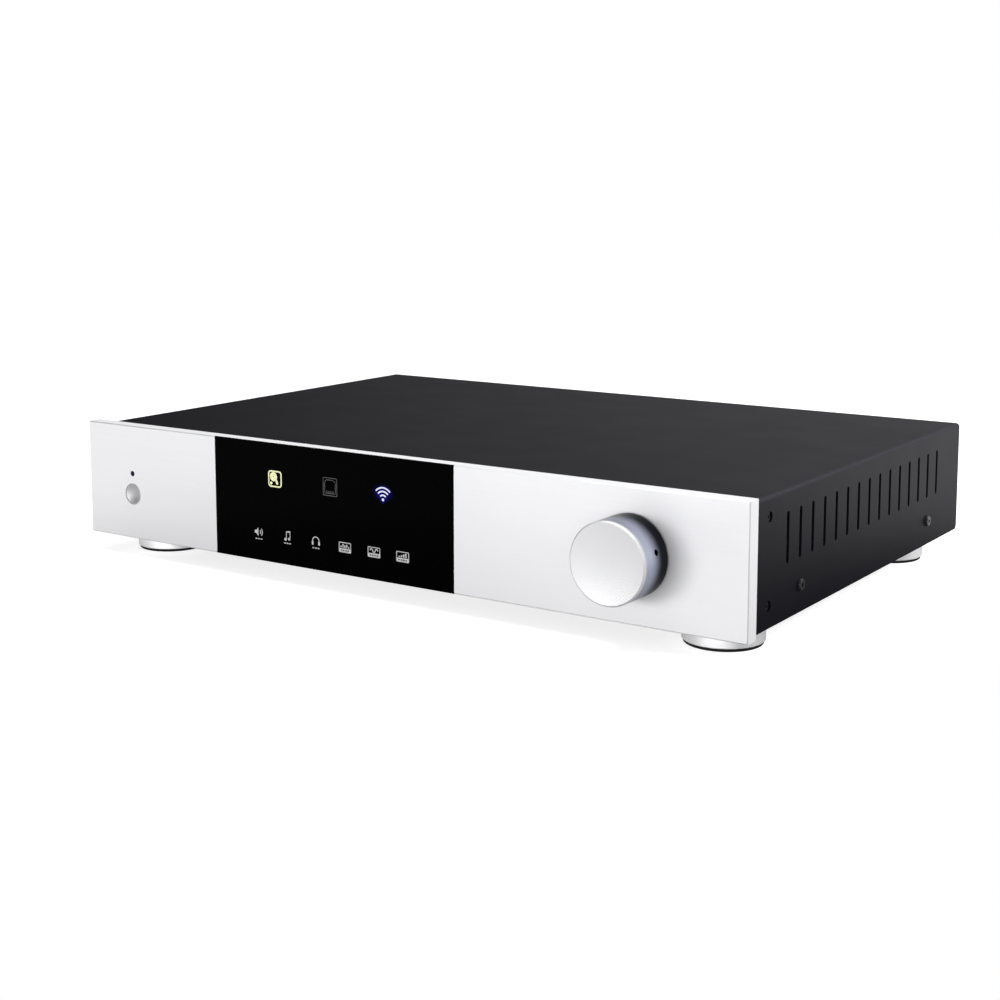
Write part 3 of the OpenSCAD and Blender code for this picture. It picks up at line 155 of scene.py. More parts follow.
# %% [markdown]
# ## The sheet on the table
# The sheet is pale and matt, and it keeps the object's shadow. A little light of its own lifts it
# to white for the camera, and more so far off, where the lamps don't reach. Metal and paint mirror
# it differently, with painted shade: grey near the object and white far from it. Close beside the
# cover's right side the painted shade is darker still, and it brightens outwards and to the rear:
# the side looks down on that strip, and so goes from dark at its foot to pale at the top. Towards
# the camera the sheet ends a hand's breadth past the knob. Both sides of that edge are white in the
# picture, so it doesn't show, but the metal sees the dim room beyond it.

# %% Helper: an object from a mesh
def make_object(name, bm):
    mesh = bpy.data.meshes.new(name)
    bm.to_mesh(mesh)
    bm.free()
    made = bpy.data.objects.new(name, mesh)
    bpy.context.collection.objects.link(made)
    return made


# %% Helper: painted shade of the sheet, as metal sees it
FLOOR_MIRRORED_SHADE = (0.22, 0.42), (0.40, 1.25)
BESIDE_NEAR, BESIDE_FAR, BESIDE_WHITE = 0.22, 0.40, 1.6
BESIDE_PAINTED_SHADE = (0.0, 0.10), (0.24, 1.0)
BESIDE_FRONT = (0.04, 1.0), (0.10, 0.0)


def painted_shade_of_sheet(tree, place, away):
    # Painted shade on what metal sees of the sheet: grey near the object, darker beside the right side.
    spot = add_node(tree, "SeparateXYZ", {0: place}).outputs
    dark = ease(tree, spot["Y"], *BESIDE_PAINTED_SHADE)
    beside = ease(tree, spot["X"], (BESIDE_NEAR, dark), (BESIDE_FAR, BESIDE_WHITE))
    slant = add_node(tree, "VectorMath", {0: place, 1: (1, 1, 0)}, operation="DOT_PRODUCT")
    in_front = ease(tree, slant.outputs["Value"], *BESIDE_FRONT)
    bright = add_node(tree, "Math", {0: beside, 1: in_front}, operation="MAXIMUM").outputs[0]
    around = ease(tree, away, *FLOOR_MIRRORED_SHADE)
    return add_node(tree, "Math", {0: around, 1: bright}, operation="MULTIPLY").outputs[0]


# %% Sheet
FLOOR_SIDE = 6.0
FLOOR_FRONT = 0.29
FLOOR_TURN = math.radians(54)
FLOOR_COLOR = (0.80, 0.80, 0.80, 1)
FLOOR_LIFT = (0.5, 0.75), (2.0, 1.05)

bm = bmesh.new()
bmesh.ops.create_grid(bm, x_segments=1, y_segments=1, size=FLOOR_SIDE / 2)
bmesh.ops.translate(bm, verts=bm.verts[:], vec=(0, FLOOR_SIDE / 2 - FLOOR_FRONT, 0))
bmesh.ops.rotate(bm, verts=bm.verts[:], cent=(0, 0, 0), matrix=Matrix.Rotation(FLOOR_TURN, 3, "Z"))
floor = make_object("floor", bm)

pale = bpy.data.materials.new("pale_floor")
pale.use_nodes = True
tree = pale.node_tree
tree.nodes.clear()
path, gloss = off_gloss(tree)
place = add_node(tree, "TexCoord").outputs["Object"]
away = add_node(tree, "VectorMath", {0: place}, operation="LENGTH").outputs["Value"]
lift = add_node(tree, "Math", {0: path["Is Camera Ray"], 1: ease(tree, away, *FLOOR_LIFT)},
                operation="MULTIPLY")
glow = add_node(tree, "Emission", {"Color": (1, 1, 1, 1), "Strength": lift.outputs[0]})
matt = add_node(tree, "BsdfDiffuse", {"Color": FLOOR_COLOR})
lifted = add_node(tree, "AddShader", {0: glow.outputs[0], 1: matt.outputs[0]})
shade = painted_shade_of_sheet(tree, place, away)
mirrored = add_node(tree, "Emission", {"Color": (1, 1, 1, 1), "Strength": shade})
both = add_node(tree, "MixShader", {0: gloss, 1: lifted.outputs[0], 2: mirrored.outputs[0]})
add_node(tree, "OutputMaterial", {"Surface": both.outputs[0]})
floor.data.materials.append(pale)
print(f"floor {FLOOR_SIDE} m square")

# %% [markdown]
# ## Soft lamps
# Metal shows what stands around it, so the lamps are large. The key is a long low strip in front:
# the camera looks down on the silver front, which mirrors its view down and forwards, to where the
# strip is. A big lamp overhead lights the upper edges. The last stands behind on the right, and
# lights the cover's side and the end of the front plate.

# %% Lamps
def softbox(name, place, aim, width, height, watts):
    lamp = bpy.data.lights.new(name, "AREA")
    lamp.shape = "RECTANGLE"
    lamp.size = width
    lamp.size_y = height
    lamp.energy = watts
    made = bpy.data.objects.new(name, lamp)
    made.location = place
    made.rotation_euler = (Vector(aim) - Vector(place)).to_track_quat("-Z", "Y").to_euler()
    bpy.context.collection.objects.link(made)
    print(f"{name}: {watts} W over {width * height:.2f} square metres")


softbox("key", (0.30, -1.45, 0.17), (0.12, 0.0, 0.03), 2.4, 0.30, 19.3)
softbox("overhead", (0.15, -0.20, 1.20), (0.0, 0.0, 0.0), 1.0, 0.8, 13.0)
softbox("right", (0.90, 0.50, 0.50), (0.2, 0.10, 0.05), 0.6, 0.5, 8.5)

# %% [markdown]
# ## One recipe for most finishes
# Paint, plating, plastic and rubber differ in colour, gloss and grain, but they are built alike: a
# fine grain tints the colour and lifts a small bump, and a slow cloud, as left by handling and
# uneven coating, moves the roughness. The grain is stretched along one axis for a brushed sheet.
# All of it reads Object coordinates, which are metres in the object's own frame, so a grain can be
# given in millimetres. What is even all over, such as how metallic a piece is, is set on the
# shader's own socket. One such value is the rim: metal mirrors more at a glancing angle, and a
# darker rim holds that back.

# %% Helpers: start a finish, make a noise
SOCKETS = {
    "metal": "Metallic",
    "shine": "Specular IOR Level",
    "coat": "Coat Weight",
    "rim": "Specular Tint",
}


def start_finish(name, even):
    material = bpy.data.materials.new(name)
    material.use_nodes = True
    tree = material.node_tree
    shader = tree.nodes["Principled BSDF"]
    for key, value in even.items():
        shader.inputs[SOCKETS[key]].default_value = value
    place = add_node(tree, "TexCoord").outputs["Object"]
    return material, tree, shader, place


def noise(tree, place, grain, stretch=(1, 1, 1), detail=3.0):
    scale = [1 / (grain * MM * along) for along in stretch]
    moved = add_node(tree, "Mapping", {"Vector": place, "Scale": scale})
    made = add_node(tree, "TexNoise", {"Vector": moved.outputs[0], "Scale": 1.0, "Detail": detail})
    return made.outputs["Fac"]


# %% Helpers: tint, roughen and emboss by a noise
NOISE_LOW, NOISE_HIGH = 0.35, 0.65


def tint(tree, shader, value, dark, light, low=NOISE_LOW, high=NOISE_HIGH, socket="Base Color"):
    ramp = add_node(tree, "ValToRGB", {"Fac": value})
    ramp.color_ramp.elements[0].position = low
    ramp.color_ramp.elements[0].color = (*dark, 1)
    ramp.color_ramp.elements[1].position = high
    ramp.color_ramp.elements[1].color = (*light, 1)
    tree.links.new(ramp.outputs["Color"], shader.inputs[socket])


def roughen(tree, shader, value, rough):
    spread = add_node(tree, "MapRange", {"Value": value, "From Min": NOISE_LOW, "From Max": NOISE_HIGH,
                                         "To Min": rough[0], "To Max": rough[1]})
    tree.links.new(spread.outputs[0], shader.inputs["Roughness"])


def emboss(tree, shader, value, depth):
    bump = add_node(tree, "Bump", {"Height": value, "Distance": depth * MM, "Strength": 1.0})
    tree.links.new(bump.outputs[0], shader.inputs["Normal"])


# %% Helper: a grained finish
CLOUD_MM = 35.0


def grained(name, dark, light, rough, grain, depth, stretch=(1, 1, 1), **even):
    material, tree, shader, place = start_finish(name, even)
    fine = noise(tree, place, grain, stretch)
    tint(tree, shader, fine, dark, light)
    roughen(tree, shader, noise(tree, place, CLOUD_MM), rough)
    emboss(tree, shader, fine, depth)
    return material


# %% [markdown]
# ## Turned metal
# The knob, the power button and the feet come off a lathe, and the tool leaves fine rings round
# the axis. A wave texture could draw rings, but they would be even, and it would need one setting
# for the face and another for the rim. Here the distance from the axis and the place along it are
# added up, and that one number drives a one-dimensional noise: rings on the face, rings round the
# rim, and none of them alike. The same number finds the knob's bevelled edge, which is left rougher
# than the rest, so that it gathers light from a wider part of the room.

# %% Helpers: the tool's way over a turned piece, a rougher edge
def tool_way(tree, place, node, axis):
    low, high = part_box(node)
    moved = add_node(tree, "VectorMath", {0: place, 1: (low + high) / 2}, operation="SUBTRACT")
    from_middle = moved.outputs[0]
    across = add_node(tree, "VectorMath", {0: from_middle, 1: [1 - a for a in axis]},
                      operation="MULTIPLY")
    radius = add_node(tree, "VectorMath", {0: across.outputs[0]}, operation="LENGTH")
    along = add_node(tree, "VectorMath", {0: from_middle, 1: axis}, operation="DOT_PRODUCT")
    way = add_node(tree, "Math", {0: radius.outputs["Value"], 1: along.outputs["Value"]},
                   operation="ADD")
    return way.outputs[0]


def rough_edge(tree, shader, way, start, width, extra):
    there = add_node(tree, "Math", {0: way, 1: (start + width / 2) * MM, 2: width / 2 * MM},
                     operation="COMPARE")
    plain = shader.inputs["Roughness"].links[0].from_socket
    rougher = add_node(tree, "Math", {0: there.outputs[0], 1: extra, 2: plain},
                       operation="MULTIPLY_ADD")
    tree.links.new(rougher.outputs[0], shader.inputs["Roughness"])


# %% Helper: a turned finish
RING_MM = 0.6


def turned(name, node, axis, dark, light, rough, depth=0.0004, edge=(), **even):
    material, tree, shader, place = start_finish(name, even)
    way = tool_way(tree, place, node, axis)
    steps = add_node(tree, "Math", {0: way, 1: 1 / (RING_MM * MM)}, operation="MULTIPLY")
    made = add_node(tree, "TexNoise", {"W": steps.outputs[0], "Scale": 1.0, "Detail": 2.0},
                    noise_dimensions="1D")
    rings = made.outputs["Fac"]
    tint(tree, shader, rings, dark, light)
    roughen(tree, shader, noise(tree, place, CLOUD_MM / 3), rough)
    emboss(tree, shader, rings, depth)
    if edge:
        rough_edge(tree, shader, way, *edge)
    return material


# %% [markdown]
# ## Aluminium outside
# The front is a thick plate, brushed along its length and anodised clear. Anodising is a hard
# transparent skin, so the plate is bright but not mirror bright, and its brush lines are faint.
# The knob, button and feet are the same metal, turned. The button's colour is much darker than
# the knob's: painted shade, for the hollow it sits in. The feet are blasted after that, so they
# scatter part of the light and are less metallic.

# %% Helper: dress CAD pieces
def dress(names, material):
    for name in names:
        for slot in nodes[name].material_slots:
            slot.material = material
    print(f"{material.name}: {', '.join(names)}")


# %% Front, knob, button and feet
KNOB_EDGE = 8.5, 1.6, 0.40
ALONG_Y, UPRIGHT = (0, 1, 0), (0, 0, 1)

silver = grained("silver_anodised", (0.770, 0.770, 0.782), (0.785, 0.785, 0.796), (0.58, 0.61), 0.35,
                 stretch=(160, 1, 1), depth=0.0003, metal=1.0)
dress(["front_panel"], silver)
knob = turned("turned_knob", "volume_knob", ALONG_Y, (0.757, 0.757, 0.771), (0.775, 0.775, 0.786),
              (0.24, 0.255), depth=0.0002, edge=KNOB_EDGE, metal=1.0, rim=(0.6, 0.6, 0.6, 1))
dress(["volume_knob"], knob)
# Painted shade: the button is given a much darker colour than the knob of the same metal.
dress(["power_button"], turned(
    "turned_button", "power_button", ALONG_Y, (0.43, 0.43, 0.44), (0.46, 0.46, 0.47), (0.48, 0.50),
    metal=1.0))
for foot in ("foot_front_left", "foot_front_right", "foot_rear_left", "foot_rear_right"):
    dress([foot], turned(
        "turned_" + foot, foot, UPRIGHT, (0.90, 0.90, 0.91), (0.95, 0.95, 0.96), (0.42, 0.48),
        metal=0.6))

# %% [markdown]
# ## One finish over another
# Some pieces aren't the same all over. The face of the front plate is brushed, but its edges are
# left blasted. The knob's side is pale at its face, then takes a darker, slightly blue painted
# reflection, and painted shade that goes black towards the plate, all round its rear edge. Two
# pieces would need a seam. Here a second value is mixed over the first, with a factor from the
# place in the object's own frame.

# %% Helpers: places, a rise and a blend
def places(material):
    place = add_node(material.node_tree, "TexCoord").outputs["Object"]
    return add_node(material.node_tree, "SeparateXYZ", {0: place}).outputs


def rise(material, value, start, end):
    return ease(material.node_tree, value, (start, 0.0), (end, 1.0))


def blend(material, socket, factor, value):
    tree = material.node_tree
    target = tree.nodes["Principled BSDF"].inputs[socket]
    plain = target.links[0].from_socket
    if socket == "Base Color":
        made = add_node(tree, "Mix", {0: factor, 6: plain, 7: (*value, 1)}, data_type="RGBA")
        mixed = made.outputs[2]
    else:
        made = add_node(tree, "Mix", {0: factor, 2: plain, 3: value}, data_type="FLOAT")
        mixed = made.outputs[0]
    tree.links.new(mixed, target)


# %% Edges of the front plate, painted reflection and shade on the knob's side
EDGE_START, EDGE_END, EDGE_ROUGH = 0.4 * MM, 0.7 * MM, 0.90
SIDE_START, SIDE_END, SIDE_PAINTED_REFLECTION_COLOR = 0.5 * MM, 3 * MM, (0.44, 0.46, 0.57)
REAR_START, REAR_END, REAR_PAINTED_SHADE_COLOR = 16 * MM, 5 * MM, (0.008, 0.008, 0.012)

plate_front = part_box("front_panel")[0].y
blasted = rise(silver, places(silver)["Y"], plate_front + EDGE_START, plate_front + EDGE_END)
blend(silver, "Roughness", blasted, EDGE_ROUGH)

knob_front, knob_rear = (corner.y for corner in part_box("volume_knob"))
knob_y = places(knob)["Y"]
# Painted reflection: behind its face the knob's side takes a darker, bluish colour.
painted_reflection_from_face = rise(knob, knob_y, knob_front + SIDE_START, knob_front + SIDE_END)
blend(knob, "Base Color", painted_reflection_from_face, SIDE_PAINTED_REFLECTION_COLOR)
# Painted shade: the knob's side goes black towards its rear edge.
painted_shade_to_rear = rise(knob, knob_y, knob_rear - REAR_START, knob_rear - REAR_END)
blend(knob, "Base Color", painted_shade_to_rear, REAR_PAINTED_SHADE_COLOR)
print("blasted edges on the plate, dark rear on the knob")

# %% [markdown]
# ## Black outside
# The cover, base and rear are steel sheet with a powder coat: the powder melts into a skin with a
# fine orange peel that scatters most of the light. The window is black acrylic, so dark that only
# what lights up behind it is seen. Screws are blackened steel, and the eye is a plastic that only
# infrared passes.

# %% Powder coat, window, eye and screws
POWDER = (0.0040, 0.0038, 0.0060), (0.0056, 0.0054, 0.0082), (0.42, 0.44), 0.7
PADS = ["pad_front_left", "pad_front_right", "pad_rear_left", "pad_rear_right", "transformer_pads"]

dress(["base_tray", "rear_panel"], grained("black_powder", *POWDER, depth=0.008, shine=0.045))
window = grained("black_window", (0.0003, 0.0003, 0.0004), (0.0005, 0.0005, 0.0006), (0.06, 0.10), 4.0,
                 depth=0.0004, shine=0.01)
dress(["display_window"], window)
dress(["eye_lens"], grained(
    "eye_smoke", (0.004, 0.003, 0.014), (0.007, 0.005, 0.022), (0.06, 0.10), 0.8, depth=0.0005,
    shine=0.1))
# Sunk screws and grub screw: their own black oxide, made darker with painted shade of their holes.
dress(["bracket_screws", "knob_grub_screw"], grained(
    "oxide_with_painted_shade", (0.006, 0.006, 0.007), (0.012, 0.012, 0.013), (0.50, 0.60), 0.5, depth=0.004,
    metal=0.3))
dress(["cover_screws", "rear_screws"], grained(
    "black_oxide", (0.022, 0.022, 0.024), (0.048, 0.048, 0.051), (0.20, 0.30), 0.5, depth=0.002,
    metal=0.6))
dress(PADS, grained(
    "black_rubber", (0.006, 0.006, 0.006), (0.011, 0.011, 0.011), (0.75, 0.88), 0.4, depth=0.015,
    shine=0.2))

# %% [markdown]
# ## Bends in the cover
# A paler line along the cover's two long edges is a painted highlight, where the bends catch the
# light. The mesh could be split there and given a second material, but a CAD mesh isn't changed. A
# bend is where a place is near the top and near a side at once, so one rise for each is enough,
# and the two are multiplied.

# %% Painted highlight on the bends
BEND_START, BEND_END = 2.6 * MM, 0.5 * MM
BEND_HIGHLIGHT_COLOR = (0.022, 0.021, 0.028)

highlit_powder = grained("powder_bend_highlight", *POWDER, depth=0.008, shine=0.045)
dress(["top_cover"], highlit_powder)
cover_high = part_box("top_cover")[1]
spot = places(highlit_powder)
outward = add_node(highlit_powder.node_tree, "Math", {0: spot["X"]}, operation="ABSOLUTE").outputs[0]
by_side = rise(highlit_powder, outward, cover_high.x - BEND_START, cover_high.x - BEND_END)
by_top = rise(highlit_powder, spot["Z"], cover_high.z - BEND_START, cover_high.z - BEND_END)
highlight_on_bend = add_node(highlit_powder.node_tree, "Math", {0: by_side, 1: by_top}, operation="MULTIPLY").outputs[0]
# Painted highlight: the bends take a paler colour.
blend(highlit_powder, "Base Color", highlight_on_bend, BEND_HIGHLIGHT_COLOR)
print("paler bends on the cover")

# %% [markdown]
# ## Plated and bare metal
# Inside and at the rear there are four plain metals. Zinc and nickel are thin plating over steel
# and brass, gold is plated on the sockets that a listener plugs into, and the brackets are
# aluminium as it left the extrusion press, with long die lines. The heatsink is extruded too, and
# anodised black.

# %% Zinc, nickel, gold and extruded aluminium
dress(["panel_screws", "rear_nuts", "foot_screws", "board_spacers", "board_screws", "encoder_nut",
       "encoder_washer", "transformer_clamp", "transformer_bolt"], grained(
    "zinc_steel", (0.52, 0.53, 0.55), (0.66, 0.67, 0.69), (0.24, 0.40), 1.6, depth=0.003, metal=1.0))
dress(["ethernet_jack", "usb_sockets", "inlet_pins", "encoder_body", "encoder_shaft"], grained(
    "nickel_shell", (0.58, 0.57, 0.54), (0.68, 0.67, 0.64), (0.20, 0.30), 0.3, stretch=(1, 60, 1),
    depth=0.001, metal=1.0))
dress(["phono_sockets", "antenna_socket"], grained(
    "gold_plate", (0.86, 0.60, 0.22), (0.94, 0.70, 0.30), (0.14, 0.22), 0.8, depth=0.001, metal=1.0))
dress(["bracket_left", "bracket_right"], grained(
    "raw_aluminium", (0.58, 0.58, 0.59), (0.68, 0.68, 0.69), (0.30, 0.42), 0.5, stretch=(1, 1, 80),
    depth=0.002, metal=1.0))
dress(["heatsink"], grained(
    "black_anodised", (0.018, 0.018, 0.020), (0.030, 0.030, 0.033), (0.38, 0.48), 0.5,
    stretch=(1, 80, 1), depth=0.002, metal=0.7))

# %% [markdown]
# ## Plastics
# Moulded plastic takes its grain from the mould, which is spark eroded to a fine even texture. The
# white parts insulate the contacts, and the lamp plastic spreads the light of the signs.

# %% Black, white and lamp plastic
dress(["light_mask", "eye_receiver", "button_switch", "switch_plunger", "processor", "optical_socket",
       "mains_inlet", "rocker_frame", "rocker"], grained(
    "black_plastic", (0.010, 0.010, 0.0105), (0.017, 0.017, 0.018), (0.36, 0.46), 0.25, depth=0.008,
    shine=0.4))
dress(["usb_tongues", "phono_cores"], grained(
    "white_plastic", (0.70, 0.69, 0.66), (0.77, 0.76, 0.73), (0.32, 0.42), 0.4, depth=0.003))
dress(["indicator_lamps"], grained(
    "lamp_plastic", (0.76, 0.76, 0.68), (0.84, 0.84, 0.77), (0.20, 0.30), 0.6, depth=0.002, coat=0.2))

# %% [markdown]
# ## Colours that tell plugs apart
# The insulators of the phono sockets are white for left, red for right and orange for the digital
# output. They are one CAD piece with one slot, so the colour goes by the place along X: a ramp
# whose colours don't blend, with its steps midway between the sockets.

# %% Phono insulators
def coded(name, first, last, colors):
    material, tree, shader, place = start_finish(name, {})
    along = add_node(tree, "SeparateXYZ", {0: place}).outputs["X"]
    share = add_node(tree, "MapRange", {"Value": along, "From Min": first * MM, "From Max": last * MM})
    ramp = add_node(tree, "ValToRGB", {"Fac": share.outputs[0]})
    ramp.color_ramp.interpolation = "CONSTANT"
    while len(ramp.color_ramp.elements) < len(colors):
        ramp.color_ramp.elements.new(0.5)
    for element, (start, color) in zip(ramp.color_ramp.elements, colors):
        element.position = (start - first) / (last - first)
        element.color = (*color, 1)
    fine = noise(tree, place, 0.4)
    value = add_node(tree, "MapRange", {"Value": fine, "To Min": 0.85, "To Max": 1.15})
    mixed = add_node(tree, "HueSaturation", {"Color": ramp.outputs["Color"], "Value": value.outputs[0]})
    tree.links.new(mixed.outputs["Color"], shader.inputs["Base Color"])
    roughen(tree, shader, noise(tree, place, CLOUD_MM), (0.30, 0.42))
    emboss(tree, shader, fine, 0.003)
    return material


dress(["phono_washers"], coded("coded_plastic", -60.0, 30.0, [
    (-60.0, (0.55, 0.17, 0.01)), (-26.0, (0.62, 0.61, 0.58)), (11.0, (0.42, 0.015, 0.012))]))

# %% [markdown]
# ## Boards and windings
# The circuit boards are glass fibre under a green lacquer, with copper tracks that show through as
# paler lines. The transformer is a ring wound with wire and wrapped in amber tape. The capacitors
# wear a dark blue sleeve.

# %% Boards, tape and sleeves
TRACK_MM, TRACK_LONG, TRACK_THICK = 1.1, 14, 0.03
SHARP_LOW, SHARP_HIGH = 0.60, 0.64


def tracked(name, dark, light, rough):
    material, tree, shader, place = start_finish(name, {})
    along_x = noise(tree, place, TRACK_MM, (TRACK_LONG, 1, 1), detail=0.0)
    along_y = noise(tree, place, TRACK_MM, (1, TRACK_LONG, 1), detail=0.0)
    tracks = add_node(tree, "Math", {0: along_x, 1: along_y}, operation="MAXIMUM").outputs[0]
    tint(tree, shader, tracks, dark, light, low=SHARP_LOW, high=SHARP_HIGH)
    roughen(tree, shader, noise(tree, place, CLOUD_MM), rough)
    emboss(tree, shader, tracks, TRACK_THICK)
    return material


dress(["main_board", "supply_board", "front_board"], tracked(
    "green_board", (0.006, 0.060, 0.020), (0.020, 0.130, 0.050), (0.22, 0.34)))
dress(["filter_capacitors"], grained(
    "sleeve_blue", (0.010, 0.020, 0.060), (0.018, 0.034, 0.090), (0.20, 0.30), 3.0,
    stretch=(1, 1, 12), depth=0.004))
dress(["transformer"], grained(
    "coil_tape", (0.30, 0.16, 0.012), (0.46, 0.27, 0.025), (0.22, 0.34), 2.2, depth=0.05, coat=0.3))

# %% [markdown]
# ## Drawing tools for the signs
# Under the black window a lamp stands behind each sign. On the real object the signs are clear
# places in a black print. They could be painted in the window's material, but as plates a hair
# thick they keep sharp edges at any distance and stay in the exported model. Each is drawn flat,
# in millimetres, with a few tools: a bar is a one-face grid with bevelled corners, a rim is a
# bar with its middle inset and taken out, and a band is a short edge spun round a centre.

# %% Helpers: bar, rim and band
def bar(bm, x, y, width, height, corner=0.0, turn=0.0):
    size = Matrix.Diagonal((width, height, 1, 1))
    place = Matrix.Translation((x, y, 0)) @ Matrix.Rotation(turn, 4, "Z") @ size
    made = bmesh.ops.create_grid(bm, x_segments=1, y_segments=1, size=0.5, matrix=place)
    if corner:
        bmesh.ops.bevel(bm, geom=made["verts"], offset=corner, affect="VERTICES", segments=5,
                        profile=0.5, material=-1)


def rim(bm, x, y, width, height, corner, line):
    earlier = set(bm.faces)
    bar(bm, x, y, width, height, corner)
    inside = [face for face in bm.faces if face not in earlier]
    bmesh.ops.inset_region(bm, faces=inside, thickness=line, use_boundary=True, use_even_offset=True)
    bmesh.ops.delete(bm, geom=inside, context="FACES")


def band(bm, x, y, radius, line, start=0.0, sweep=math.tau, steps=24):
    middle = Vector((x, y, 0))
    outward = Vector((math.cos(start), math.sin(start), 0))
    ends = [bm.verts.new(middle + outward * (radius + side * line / 2)) for side in (-1, 1)]
    bmesh.ops.spin(bm, geom=[*ends, bm.edges.new(ends)], cent=middle, axis=(0, 0, 1), angle=sweep,
                   steps=steps, use_merge=sweep == math.tau)


# %% Helpers: dot, stroke and plate
def dot(bm, x, y, radius):
    bmesh.ops.create_circle(bm, cap_ends=True, radius=radius, segments=24,
                            matrix=Matrix.Translation((x, y, 0)))


def stroke(bm, start, end, line):
    along = Vector(end) - Vector(start)
    middle = (Vector(start) + Vector(end)) / 2
    bar(bm, *middle, along.length + line, line, 0.45 * line, math.atan2(along.y, along.x))


def plate(bm, corners):
    bm.faces.new([bm.verts.new((*corner, 0)) for corner in corners])


# %% [markdown]
# ## From a drawing to a sign
# Extruding the faces gives the drawing its thickness, and a turn of a quarter stands it on the
# window, with its own height as the distance towards the viewer. A lit sign shines by itself, and
# a slow cloud keeps it from being quite even, as light from one lamp behind it never is.

# %% Helpers: make solid, stand on the window
SIGN_THICK = 0.05
WINDOW_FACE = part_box("display_window")[0].y
PANEL_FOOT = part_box("front_panel")[0].z
STANDING = Matrix.Rotation(math.pi / 2, 4, "X") @ Matrix.Scale(MM, 4)
ON_WINDOW = Matrix.Translation((0, WINDOW_FACE, PANEL_FOOT)) @ STANDING


def thicken(bm, thick):
    raised = bmesh.ops.extrude_face_region(bm, geom=bm.faces[:])["geom"]
    top = [item for item in raised if isinstance(item, bmesh.types.BMVert)]
    bmesh.ops.translate(bm, verts=top, vec=(0, 0, thick))
    bmesh.ops.recalc_face_normals(bm, faces=bm.faces[:])


def add_piece(name, bm, material, body="chassis", replaces=()):
    made = make_object(name, bm)
    made.data.materials.append(material)
    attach(made, body)
    if replaces:
        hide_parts(*replaces)
    print(f"{name}: {len(made.data.polygons)} faces on {body}")


def add_sign(name, bm, x, y, material, lift=0.0):
    thicken(bm, SIGN_THICK)
    bmesh.ops.transform(bm, matrix=ON_WINDOW @ Matrix.Translation((x, y, lift)), verts=bm.verts[:])
    add_piece(name, bm, material)


# %% Helper: a shining finish
LAMP_CLOUD_MM = 2.5


def shining(name, dim, bright):
    material, tree, shader, place = start_finish(name, {"shine": 0.1})
    shader.inputs["Base Color"].default_value = (0.01, 0.01, 0.01, 1)
    shader.inputs["Emission Strength"].default_value = 1.0
    cloud = noise(tree, place, LAMP_CLOUD_MM)
    tint(tree, shader, cloud, dim, bright, socket="Emission Color")
    roughen(tree, shader, cloud, (0.3, 0.4))
    return material


# %% [markdown]
# ## The upper signs
# Three signs tell what the player is connected to: a drive, a network socket and wireless. The
# drive is lit in a warm yellow, the wireless arcs in white that goes blue round them, and the
# socket is off: its thin outline has a faint painted glow, though no lamp lights it.

# %% Drive, network socket and wireless arcs
WIRELESS = (5.6, 43.7)

drive = bmesh.new()
rim(drive, 0, 0, 9.7, 9.2, 1.9, 0.8)
band(drive, -1.0, 1.2, 1.45, 2.2)
stroke(drive, (0.95, -0.9), (1.55, -2.3), 1.4)
dot(drive, -2.7, -2.5, 0.85)
add_sign("sign_drive", drive, -69.0, 46.8,
         shining("yellow_lamp", (0.72, 0.76, 0.38), (1.0, 1.0, 0.66)))

socket = bmesh.new()
rim(socket, 0, 0, 9.7, 9.9, 0.6, 0.35)
corners = [(-3.7, -3.6), (-3.7, 2.3), (-2.5, 3.7), (2.5, 3.7), (3.7, 2.3), (3.7, -3.6)]
corners = [Vector(corner) for corner in corners]
for start, end in zip(corners, corners[1:] + corners[:1]):
    inwards = (end - start).normalized() * 0.35
    stroke(socket, start + inwards, end - inwards, 0.35)
for pin in range(8):
    stroke(socket, (0.7 * (pin - 3.5), -3.1), (0.7 * (pin - 3.5), -2.4), 0.25)
# The socket is off, and its outline is a faint painted glow.
add_sign("sign_network", socket, -30.1, 46.6,
         shining("grey_outline_painted_glow", (0.055, 0.055, 0.058), (0.11, 0.11, 0.115)))

arcs = bmesh.new()
dot(arcs, 0, 0, 0.75)
for radius in (2.4, 4.4, 6.35):
    band(arcs, 0, 0, radius, 0.8, math.radians(43), math.radians(94))
add_sign("sign_wireless", arcs, *WIRELESS,
         shining("white_lamp", (0.66, 0.70, 1.0), (0.90, 0.92, 1.0)))

# %% [markdown]
# ## Light that spreads
# Acrylic scatters a little of a strong lamp's light, so there is a blue haze round the wireless
# sign. It belongs to the window, so it goes into the window's material: a falloff with the
# distance from the sign's foot and another with the angle from upright, multiplied.

# %% Haze round the wireless arcs
HAZE_COLOR = (0.004, 0.003, 0.110, 1)
HAZE_REACH = (4.5 * MM, 1.0), (9.0 * MM, 0.0)
HAZE_LEAN = (math.radians(22), 1.0), (math.radians(66), 0.0)
HAZE_DROP = 2.4 * MM

tree = window.node_tree
place = add_node(tree, "TexCoord").outputs["Object"]
foot = (ON_WINDOW @ Matrix.Translation((*WIRELESS, 0))).translation
from_foot = add_node(tree, "VectorMath", {0: place, 1: foot}, operation="SUBTRACT").outputs[0]
reach = add_node(tree, "VectorMath", {0: from_foot}, operation="LENGTH").outputs["Value"]
parts = add_node(tree, "SeparateXYZ", {0: from_foot}).outputs
sideways = add_node(tree, "Math", {0: parts["X"]}, operation="ABSOLUTE").outputs[0]
upwards = add_node(tree, "Math", {0: parts["Z"], 1: HAZE_DROP}, operation="ADD").outputs[0]
lean = add_node(tree, "Math", {0: sideways, 1: upwards}, operation="ARCTAN2").outputs[0]
by_reach = ease(tree, reach, *HAZE_REACH)
by_lean = ease(tree, lean, *HAZE_LEAN)
haze = add_node(tree, "Math", {0: by_reach, 1: by_lean}, operation="MULTIPLY")
shader = tree.nodes["Principled BSDF"]
shader.inputs["Emission Color"].default_value = HAZE_COLOR
